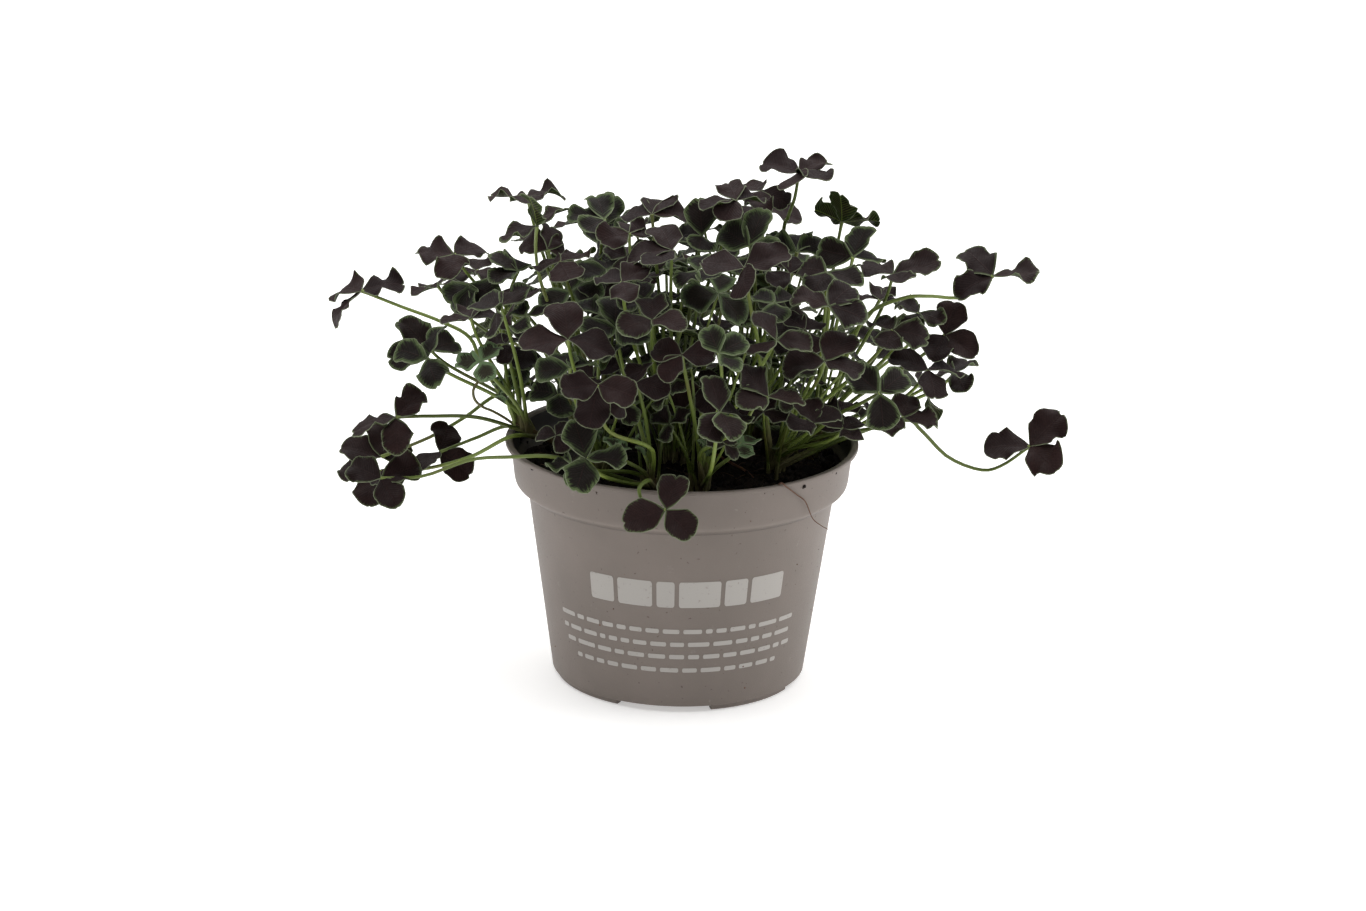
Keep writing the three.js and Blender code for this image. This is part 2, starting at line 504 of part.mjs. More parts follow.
function tryPlace(leaf, shift, bow) {
  leaf.shift = shift;
  const hub = leaf.place(shift);
  const curve = stalkCurve(leaf, hub, bow);
  const samples = samplesOf(leaf, hub, curve);
  const box = new Extent([...samples.blade, ...samples.stalk, ...samples.base]);
  return { hub, curve, box, runner: leaf.runner, ...samples };
}

// A runner as an obstacle for the leaves of the others
function runnerObstacle(key) {
  const bend = vector(...RUNNERS[key].foot, PEAT_LEVEL + BEND_RISE);
  const tip = vector(...RUNNERS[key].tip);
  const base = [];
  for (let i = 0; i <= 8; i++) {
    const middle = bend.clone().lerp(tip, i / 8);
    for (let k = 0; k < 4; k++) {
      const angle = (k * Math.PI) / 2;
      base.push(middle.clone().add(vector(Math.cos(angle), Math.sin(angle), 0).multiplyScalar(2)));
    }
  }
  return { blade: [], stalk: [], base, runner: key, box: new Extent(base) };
}

function settle(leaves) {
  const placed = Object.keys(RUNNERS).map(runnerObstacle);
  const order = [...leaves].sort((a, b) => a.hub.y - b.hub.y);
  for (const leaf of order) {
    let best = null;
    let bestMargin = -Infinity;
    for (const shift of DEPTH_STEPS) {
      for (const bow of BOW_STEPS) {
        if (bestMargin > 0) continue;
        const trial = tryPlace(leaf, shift, bow);
        const margin = freedom(trial, placed);
        if (margin > bestMargin) {
          best = trial;
          bestMargin = margin;
        }
      }
    }
    Object.assign(leaf, { hub: best.hub, curve: best.curve, margin: bestMargin });
    placed.push(best);
  }
}

function solidFrom(points, faces) {
  const vertProperties = new Float32Array(points.flatMap((p) => [p.x, p.y, p.z]));
  return new wasm.Manifold(new wasm.Mesh({ numProp: 3, vertProperties, triVerts: new Uint32Array(faces.flat()) }));
}

function solidOf(geometry) {
  geometry.deleteAttribute("normal");
  geometry.deleteAttribute("uv");
  const merged = mergeVertices(geometry, 1e-4);
  const vertProperties = new Float32Array(merged.attributes.position.array);
  return new wasm.Manifold(new wasm.Mesh({ numProp: 3, vertProperties, triVerts: new Uint32Array(merged.index.array) }));
}

function geometryOf(solid) {
  const mesh = solid.getMesh();
  const geometry = new THREE.BufferGeometry();
  geometry.setAttribute("position", new THREE.BufferAttribute(mesh.vertProperties, 3));
  geometry.setIndex(new THREE.BufferAttribute(mesh.triVerts, 1));
  geometry.computeVertexNormals();
  return geometry;
}

// The spokes of a tube's ring, swung with its path without twisting
function swung(spokes, from, to) {
  const swing = new THREE.Quaternion().setFromUnitVectors(from, to);
  return spokes.map((spoke) => spoke.clone().applyQuaternion(swing));
}

// One whole leaf as a closed mesh: its stalk, and its leaflets spread from the stalk's end
function leafSolid(leaf) {
  const { hub, normal, pieces } = leaf;
  const start = pieces[0].axis.clone().addScaledVector(normal, -pieces[0].axis.dot(normal)).normalize();
  const quarter = normal.clone().cross(start);
  const angleOf = (piece) => {
    const angle = Math.atan2(piece.axis.dot(quarter), piece.axis.dot(start));
    return angle < -1e-6 ? angle + 2 * Math.PI : Math.max(0, angle);
  };
  const around = [...pieces].sort((a, b) => angleOf(a) - angleOf(b));
  const count = around.length;
  const points = [];
  const faces = [];
  const corners = [];
  for (let i = 0; i < count; i++) {
    const before = angleOf(around[(i + count - 1) % count]) - (i === 0 ? 2 * Math.PI : 0);
    const angle = 0.5 * (before + angleOf(around[i]));
    const corner = start.clone().multiplyScalar(Math.cos(angle)).addScaledVector(quarter, Math.sin(angle));
    corners.push(corner);
    points.push(hub.clone().addScaledVector(corner, HUB_RADIUS).addScaledVector(normal, BLADE / 2));
  }
  for (let i = 0; i < count; i++) {
    points.push(points[i].clone().addScaledVector(normal, -BLADE));
  }
  for (let i = 1; i < count - 1; i++) faces.push([0, i, i + 1]);
  around.forEach((piece, i) => addLeaflet(points, faces, hub, piece, i, (i + 1) % count, count));
  addStalk(points, faces, leaf, corners);
  return solidFrom(points, faces);
}

function addLeaflet(points, faces, hub, piece, right, left, count) {
  const rim = [];
  const put = (along, across) => {
    const middle = bladePoint(hub, piece, along, across);
    points.push(middle.clone().addScaledVector(piece.face, BLADE / 2));
    points.push(middle.clone().addScaledVector(piece.face, -BLADE / 2));
    return points.length - 2;
  };
  for (const along of OUTLINE_STEPS) rim.push(put(along, -1));
  for (const along of [...OUTLINE_STEPS].reverse()) rim.push(put(along, 1));
  const centre = put(0.52, 0);
  const tops = [right, ...rim, left];
  const unders = [count + right, ...rim.map((i) => i + 1), count + left];
  for (let i = 0; i < tops.length; i++) {
    const next = (i + 1) % tops.length;
    faces.push([tops[i], tops[next], centre]);
    faces.push([unders[next], unders[i], centre + 1]);
    if (next === 0) continue;
    faces.push([tops[i], unders[i], unders[next]]);
    faces.push([tops[i], unders[next], tops[next]]);
  }
}

function addStalk(points, faces, leaf, corners) {
  const count = corners.length;
  const steps = STALK_STEPS + (ROUTES[leaf.name] ? 4 : 0);
  let ring = corners.map((_, i) => count + i);
  let spokes = corners;
  let heading = leaf.normal;
  for (let step = steps - 1; step >= 0; step--) {
    const share = step / steps;
    const centre = leaf.curve(share);
    const ahead = leaf.curve(share + 0.02).sub(leaf.curve(Math.max(0, share - 0.02))).normalize();
    spokes = swung(spokes, heading, ahead);
    heading = ahead;
    const next = spokes.map((spoke) => {
      points.push(centre.clone().addScaledVector(spoke, STALK_RADIUS));
      return points.length - 1;
    });
    for (let i = 0; i < count; i++) {
      const j = (i + 1) % count;
      faces.push([ring[i], next[i], next[j]]);
      faces.push([ring[i], next[j], ring[j]]);
    }
    ring = next;
  }
  for (let i = 1; i < count - 1; i++) faces.push([ring[0], ring[i + 1], ring[i]]);
}

// A runner: a short stem from the floor of its hole to its growing tip
function runnerSolid({ foot, tip }) {
  const path = [
    vector(foot[0], foot[1], HOLE_FLOOR + GAP),
    vector(foot[0], foot[1], PEAT_LEVEL + BEND_RISE),
    vector(...tip),
  ];
  const radii = [RUNNER_RADIUS, RUNNER_RADIUS, RUNNER_TIP];
  const points = [];
  const faces = [];
  let heading = vector(0, 0, 1);
  let spokes = [];
  for (let i = 0; i < RUNNER_SIDES; i++) {
    spokes.push(vector(1, 0, 0).applyAxisAngle(heading, (2 * Math.PI * i) / RUNNER_SIDES));
  }
  path.forEach((centre, ring) => {
    const before = path[Math.max(0, ring - 1)];
    const after = path[Math.min(path.length - 1, ring + 1)];
    const ahead = ring === 0 ? heading : after.clone().sub(before).normalize();
    spokes = swung(spokes, heading, ahead);
    heading = ahead;
    for (const spoke of spokes) points.push(centre.clone().addScaledVector(spoke, radii[ring]));
  });
  for (let ring = 0; ring < path.length - 1; ring++) {
    for (let i = 0; i < RUNNER_SIDES; i++) {
      const j = (i + 1) % RUNNER_SIDES;
      const low = ring * RUNNER_SIDES;
      const high = low + RUNNER_SIDES;
      faces.push([low + i, low + j, high + j]);
      faces.push([low + i, high + j, high + i]);
    }
  }
  const top = (path.length - 1) * RUNNER_SIDES;
  for (let i = 1; i < RUNNER_SIDES - 1; i++) {
    faces.push([0, i + 1, i]);
    faces.push([top, top + i, top + i + 1]);
  }
  return solidFrom(points, faces);
}

// The pot's wall as a closed section turned round the axis
function wallRadius(height) {
  const share = (height - FOOT_HEIGHT - BASE_EDGE) / (POT_HEIGHT - COLLAR_HEIGHT - FOOT_HEIGHT - BASE_EDGE);
  return BASE_RADIUS + (CREASE_RADIUS - BASE_RADIUS) * share;
}

function potSolid() {
  const crease = POT_HEIGHT - COLLAR_HEIGHT;
  const floor = FOOT_HEIGHT + WALL + 0.4;
  const section = [
    [0, FOOT_HEIGHT],
    [BASE_RADIUS - BASE_EDGE, FOOT_HEIGHT],
    [BASE_RADIUS, FOOT_HEIGHT + BASE_EDGE],
    [CREASE_RADIUS, crease],
    [CREASE_RADIUS + 1.1, crease + 0.3],
    [COLLAR_RADIUS - 1.3, crease + 2.8],
    [COLLAR_RADIUS - 0.7, crease + 4.8],
    [COLLAR_RADIUS, POT_HEIGHT - 6],
    [RIM_RADIUS - 1.4, POT_HEIGHT - 1.6],
    [RIM_RADIUS, POT_HEIGHT - 1.1],
    [RIM_RADIUS, POT_HEIGHT - 0.2],
    [RIM_RADIUS - 1, POT_HEIGHT],
    [RIM_RADIUS - 2.6, POT_HEIGHT - 0.8],
    [COLLAR_RADIUS - WALL, POT_HEIGHT - 6],
    [CREASE_RADIUS - WALL, crease],
    [BASE_RADIUS - WALL, floor + 1.5],
    [0, floor],
  ];
  const lathe = new THREE.LatheGeometry(section.map(([r, z]) => new THREE.Vector2(r, z)), ROUND_STEPS);
  lathe.rotateX(Math.PI / 2);
  let pot = solidOf(lathe);
  for (let i = 0; i < FOOT_COUNT; i++) pot = pot.add(footSolid(FOOT_START - 90 + i * 90));
  for (let i = 0; i < DRAIN_COUNT; i++) {
    const angle = (2 * Math.PI * (i + 0.5)) / DRAIN_COUNT;
    const drain = new THREE.CylinderGeometry(DRAIN_RADIUS, DRAIN_RADIUS, 12, 10);
    drain.rotateX(Math.PI / 2);
    drain.translate(DRAIN_RING * Math.cos(angle), DRAIN_RING * Math.sin(angle), FOOT_HEIGHT);
    pot = pot.subtract(solidOf(drain));
  }
  return pot;
}

function footSolid(degrees) {
  const outer = BASE_RADIUS - BASE_EDGE - 0.2;
  const inner = outer - FOOT_WIDTH;
  const from = THREE.MathUtils.degToRad(degrees);
  const to = THREE.MathUtils.degToRad(degrees + FOOT_ARC);
  const shape = new THREE.Shape();
  shape.absarc(0, 0, outer, from, to, false);
  shape.absarc(0, 0, inner, to, from, true);
  shape.closePath();
  const foot = new THREE.ExtrudeGeometry(shape, { depth: FOOT_HEIGHT + 0.5, bevelEnabled: false, curveSegments: 5 });
  return solidOf(foot);
}

function peatHeight(x, y) {
  const lumps = Math.sin(0.31 * x + 0.7) * Math.cos(0.27 * y - 0.4) + 0.6 * Math.sin(0.17 * x - 0.23 * y);
  return PEAT_LEVEL + PEAT_LUMP * lumps - 0.0004 * (x * x + y * y);
}

function innerRadius(height) {
  const crease = POT_HEIGHT - COLLAR_HEIGHT;
  if (height < crease) return wallRadius(height) - WALL;
  const share = (height - crease) / (COLLAR_HEIGHT - 6);
  return CREASE_RADIUS - WALL + (COLLAR_RADIUS - CREASE_RADIUS) * share;
}

function peatSolid() {
  const crease = POT_HEIGHT - COLLAR_HEIGHT;
  const floor = FOOT_HEIGHT + WALL + 0.4 + 1.5 + GAP;
  const edge = innerRadius(PEAT_LEVEL - 1.2) - GAP * 1.2;
  const points = [vector(0, 0, peatHeight(0, 0))];
  const faces = [];
  const ring = (radius, heightAt) => {
    const first = points.length;
    for (let i = 0; i < ROUND_STEPS; i++) {
      const angle = (2 * Math.PI * i) / ROUND_STEPS;
      const x = radius * Math.sin(angle);
      const y = -radius * Math.cos(angle);
      points.push(vector(x, y, heightAt(x, y)));
    }
    return first;
  };
  const firsts = PEAT_RINGS.map((radius) => ring(radius, peatHeight));
  firsts.push(ring(edge, () => PEAT_LEVEL - 1.2));
  firsts.push(ring(CREASE_RADIUS - WALL - 2 * GAP, () => crease));
  firsts.push(ring(BASE_RADIUS - WALL - 1.6 * GAP, () => floor));
  points.push(vector(0, 0, floor));
  const bottom = points.length - 1;
  for (let i = 0; i < ROUND_STEPS; i++) {
    const j = (i + 1) % ROUND_STEPS;
    faces.push([0, firsts[0] + i, firsts[0] + j]);
    for (let k = 0; k < firsts.length - 1; k++) {
      faces.push([firsts[k] + i, firsts[k + 1] + i, firsts[k + 1] + j]);
      faces.push([firsts[k] + i, firsts[k + 1] + j, firsts[k] + j]);
    }
    const last = firsts[firsts.length - 1];
    faces.push([last + i, bottom, last + j]);
  }
  let peat = solidFrom(points, faces);
  for (const { foot } of Object.values(RUNNERS)) {
    const radius = RUNNER_RADIUS + GAP * 1.5;
    const hole = new THREE.CylinderGeometry(radius, radius, 30, RUNNER_SIDES);
    hole.rotateX(Math.PI / 2);
    hole.rotateZ(Math.PI / 2);
    hole.translate(foot[0], foot[1], HOLE_FLOOR + 15);
    peat = peat.subtract(solidOf(hole));
  }
  return peat;
}

function material(color, roughness) {
  return new THREE.MeshStandardMaterial({ color, roughness, metalness: 0 });
}

const plant = new THREE.Group();

function addPiece(name, solid, finish) {
  const mesh = new THREE.Mesh(geometryOf(solid), finish);
  mesh.name = name;
  plant.add(mesh);
}

const leaves = LEAVES.map(seenLeaf);
for (let i = 0; i < BACK_LEAVES; i++) leaves.push(backLeaf(i));
giveRoots(leaves);
settle(leaves);

addPiece("pot", potSolid(), material(0x8a8078, 0.6));
addPiece("peat", peatSolid(), material(0x2a201a, 0.95));
for (const key of Object.keys(RUNNERS)) {
  let bunch = runnerSolid(RUNNERS[key]);
  for (const leaf of leaves) {
    if (leaf.runner === key) bunch = bunch.add(leafSolid(leaf));
  }
  addPiece(`clover_${key}`, bunch, material(0x4a3a3c, 0.55));
}

// The origin is on the ground, under the middle of the whole outline
const extent = new THREE.Box3().setFromObject(plant);
for (const mesh of plant.children) {
  mesh.geometry.translate(-(extent.min.x + extent.max.x) / 2, -(extent.min.y + extent.max.y) / 2, 0);
}

export default plant;
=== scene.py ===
import math
import bpy
import numpy as np
from mathutils import Matrix, Vector, noise


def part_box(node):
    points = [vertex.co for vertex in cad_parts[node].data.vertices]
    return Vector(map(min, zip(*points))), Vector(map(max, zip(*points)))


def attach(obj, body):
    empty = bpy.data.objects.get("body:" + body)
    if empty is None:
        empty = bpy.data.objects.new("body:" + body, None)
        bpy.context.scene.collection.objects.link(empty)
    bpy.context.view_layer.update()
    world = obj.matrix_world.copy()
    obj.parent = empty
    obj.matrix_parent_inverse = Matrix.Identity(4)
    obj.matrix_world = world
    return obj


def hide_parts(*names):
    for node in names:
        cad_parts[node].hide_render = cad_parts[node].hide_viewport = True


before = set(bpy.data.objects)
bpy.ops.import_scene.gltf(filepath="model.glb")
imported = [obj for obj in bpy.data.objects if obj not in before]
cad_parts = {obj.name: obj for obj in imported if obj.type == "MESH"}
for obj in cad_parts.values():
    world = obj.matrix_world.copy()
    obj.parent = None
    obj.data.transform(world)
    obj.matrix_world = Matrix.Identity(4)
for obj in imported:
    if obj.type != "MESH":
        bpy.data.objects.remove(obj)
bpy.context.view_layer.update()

# Lengths are in millimetres from the pot's axis until a piece is made, and then in metres
METRES = 0.001

# The pot
RIM_RADIUS = 60
POT_HEIGHT = 83
WALL = 1.1
COLLAR_HEIGHT = 17.2
COLLAR_RADIUS = 57.6
COLLAR_EDGE = 6
CREASE_RADIUS = 52.2
BASE_RADIUS = 43.4
BASE_EDGE = 1.1
FOOT_HEIGHT = 2
FOOT_WIDTH = 3
FOOT_COUNT = 4
FOOT_ARC = 45
FOOT_START = -74
DRAIN_COUNT = 6
DRAIN_RADIUS = 3.5
DRAIN_RING = 27
DRILL_DEPTH = 12
POT_STEPS = 160
CREASE_HEIGHT = POT_HEIGHT - COLLAR_HEIGHT
FLOOR_TOP = FOOT_HEIGHT + WALL + 0.4

# Its wall as a section from the bottom's middle round the lip to the floor: radius, height, and
# how much each corner is rounded
POT_PROFILE = [
    (0.5, FOOT_HEIGHT, 0),
    (BASE_RADIUS - 0.1, FOOT_HEIGHT, 0.9),
    (BASE_RADIUS, FOOT_HEIGHT + BASE_EDGE, 0),
    (CREASE_RADIUS, CREASE_HEIGHT, 0.3),
    (CREASE_RADIUS + 1.1, CREASE_HEIGHT + 0.2, 0.3),
    (COLLAR_RADIUS - 1.1, CREASE_HEIGHT + 2.8, 1.8),
    (COLLAR_RADIUS - 0.7, CREASE_HEIGHT + 4.8, 0),
    (COLLAR_RADIUS, POT_HEIGHT - COLLAR_EDGE, 2.0),
    (RIM_RADIUS - 1.6, POT_HEIGHT - 1.7, 0.35),
    (RIM_RADIUS, POT_HEIGHT - 1.4, 0.3),
    (RIM_RADIUS, POT_HEIGHT, 0.6),
    (RIM_RADIUS - 2.5, POT_HEIGHT - 0.3, 0.9),
    (COLLAR_RADIUS - WALL, POT_HEIGHT - COLLAR_EDGE, 1.5),
    (CREASE_RADIUS - WALL, CREASE_HEIGHT, 1.5),
    (BASE_RADIUS - WALL, FLOOR_TOP + 1.5, 1.5),
    (BASE_RADIUS - 4, FLOOR_TOP, 0),
    (0.5, FLOOR_TOP, 0),
]

# The print on its front, as plain blocks: lengths along the wall
PRINT_RISE = 0.06
TITLE_FROM = -31.5
TITLE_HEIGHT = 43.8
TITLE_SIZE = 9.4
TITLE_BLOCKS = [9, 12, 6, 14, 8, 13]
TITLE_GAP = 1.5
TEXT_LINES = [(30.2, 46), (25.4, 45), (20.8, 43), (15.8, 38)]
TEXT_SIZE = 1.6
TEXT_GAP = 1.3

# Peat
PEAT_LEVEL = 74.6
PEAT_LUMP = 0.9
PEAT_STEPS = 180
PEAT_RINGS = 60
CRUMB_COUNT = 700
FIBRE_COUNT = 130
WALL_CRUMBS = 60
POT_SPECKS = 26

# Dry roots, one at the lip and one on the peat: points, radii from end to end, and how red they are
LIP_ROOT = [
    (28, -42, 75), (30.5, -46.5, 80), (32.6, -49.9, 83.6), (34.5, -49.6, 82.3), (38.2, -43.9, 77.8),
    (41.1, -41.2, 74.6), (43.7, -38, 67.9), (46.5, -36, 64.8), (49.3, -34, 62.6),
]
PEAT_ROOT = [
    (9, 6, 74), (12, 3.2, 76.2), (14.4, -2.3, 76.5), (17.4, -6.6, 76.2), (21.4, -13.1, 76),
    (25, -17, 74),
]
THREADS = [(LIP_ROOT, (0.3, 0.26, 0.2, 0.12), 0.25), (PEAT_ROOT, (0.55, 0.5, 0.4), 0.9)]

# The dead stem that curls at the west runner
DEAD_STEM = [
    (-66.6, -2, 104.6), (-68.9, -3, 102.8), (-70.7, -4, 99.8), (-70.1, -4, 96.3), (-67.5, -3, 93.6),
    (-64.5, -1, 91.7), (-60.5, 1, 88.8), (-56.5, 1, 86),
]
DEAD_STEM_RADIUS = 0.5
DEAD_STEM_STEPS = 40

# Runners, stalks and blades
HOLE_FLOOR = 66
GAP = 0.3
RUNNER_RADIUS = 2.6
RUNNER_TIP = 1.7
BEND_RISE = 1.2
TIP_BARE = 0.8
ROOT_SPREAD = 11
ROOT_OFFSET = 0.9
RUNNER_SLIMNESS = 0.52
RUNNER_KNOTS = 0.04
RUNNER_STEPS = 18
STALK_FOOT = 0.76
STALK_TOP = 0.56
STALK_STEPS = 26
SHEATH_LENGTH = 7
SHEATH_RADII = np.array([1.2, 1.16, 1.1, 1.03, 0.95, 0.86, 0.75])
BLADE_THICKNESS = 0.22
BUDS_PER_RUNNER = 3
BUD_THICKNESS = 0.26
LEAFLET_WIDTH = 0.9
WIDEST = 0.6
VEIN_SPACING = 1.05
TURN = 2 * math.pi
SPREAD_ANGLE = TURN / 3
RANDOM_SEED = 20811
RANDOM_RANGE = 4294967296

# Seeds of the draws that only this script makes
PEAT_SEED = 5
PRINT_SEED = 17
SPECK_SEED = 23
BUNCH_SEED = 100
LOW_SEED = 300

# Small low leaves round each runner, which the solids leave out: how many and up to what height
LOW_LEAVES = {
    "west": (3, 50), "southwest": (6, 60), "front": (2, 60), "south": (7, 60), "middle": (24, 68),
    "east": (10, 60), "southeast": (18, 60), "far_east": (8, 55), "northeast": (26, 70),
    "north": (26, 72), "northwest": (14, 66),
}
LOW_TRIES = 16
LOW_MARGIN = -1.5
LOW_SLIMNESS = 0.75
# Low leaves have their tone cut to this share: painted shade, darker burgundy where they sit deep in the
# bunch
LOW_SHADED_TONE = 0.3
LOWEST = 16

# Clear space kept while leaves are placed: between them, and to the lip and the peat
BLADE_CLEARANCE = 2.5
STALK_CLEARANCE = 2.1
POT_CLEARANCE = 1.4
PEAT_CLEARANCE = 2.6
LIP_WIDTH = 4.5
CROWN_REACH = 13
STALK_SPACING = 2
NEVER_NEAR = 1000
BLOCKED = -10
DEPTH_STEPS = [0, 3, -3, 6, -6, 9, -9, 12, -12, 16, -16, 20, -20, 25]
BOW_STEPS = [0, 5, -5, 10, -10, 16, -16]

# The view that the leaves are set out in, which is also the camera's
VIEW_DISTANCE = 1300
VIEW_ELEVATION = math.radians(17.45)
VIEW_ROLL = math.radians(1.07)
VIEW_HEIGHT = 76.8
VIEW_ACROSS = 0.44
LENS = 100.7
SENSOR = 36
FARTHEST = 20

# The studio, in metres. Its soft boxes: name, place, size, radiance and the point they face
WORLD_LIGHT = 0.22
FLOOR_GLOW = 0.4
FLOOR_REACH = 9
PLANT_MIDDLE = (0, 0, 0.09)
STUDIO_LIGHTS = [
    ("overhead_box", (0, 1.4, 2.8), (6, 6), 1.98, (0, 1, 0)),
    ("left_box", (-1.5, 0.35, 0.6), (1.4, 1.2), 0.7, PLANT_MIDDLE),
    ("right_box", (1.5, 0.35, 0.6), (1.4, 1.2), 2.15, PLANT_MIDDLE),
]

# Runners: where the foot stands in the peat, and where its growing tip is
RUNNERS = {
    "west": ([-37, 4], [-57, 1, 87]),
    "southwest": ([-27, -17], [-28, -17.5, 80]),
    "front": ([-9, -34], [-9.5, -35, 80]),
    "south": ([7, -31], [7, -32, 79.5]),
    "middle": ([-3, -3], [-3, -3.5, 81]),
    "east": ([30, -12], [31, -12.5, 80]),
    "southeast": ([19, 9], [19.5, 9, 81]),
    "far_east": ([44, 10], [46, 10, 82]),
    "northeast": ([26, 31], [27, 32, 81]),
    "north": ([-4, 31], [-4, 33, 81]),
    "northwest": ([-29, 24], [-31, 25, 82]),
}

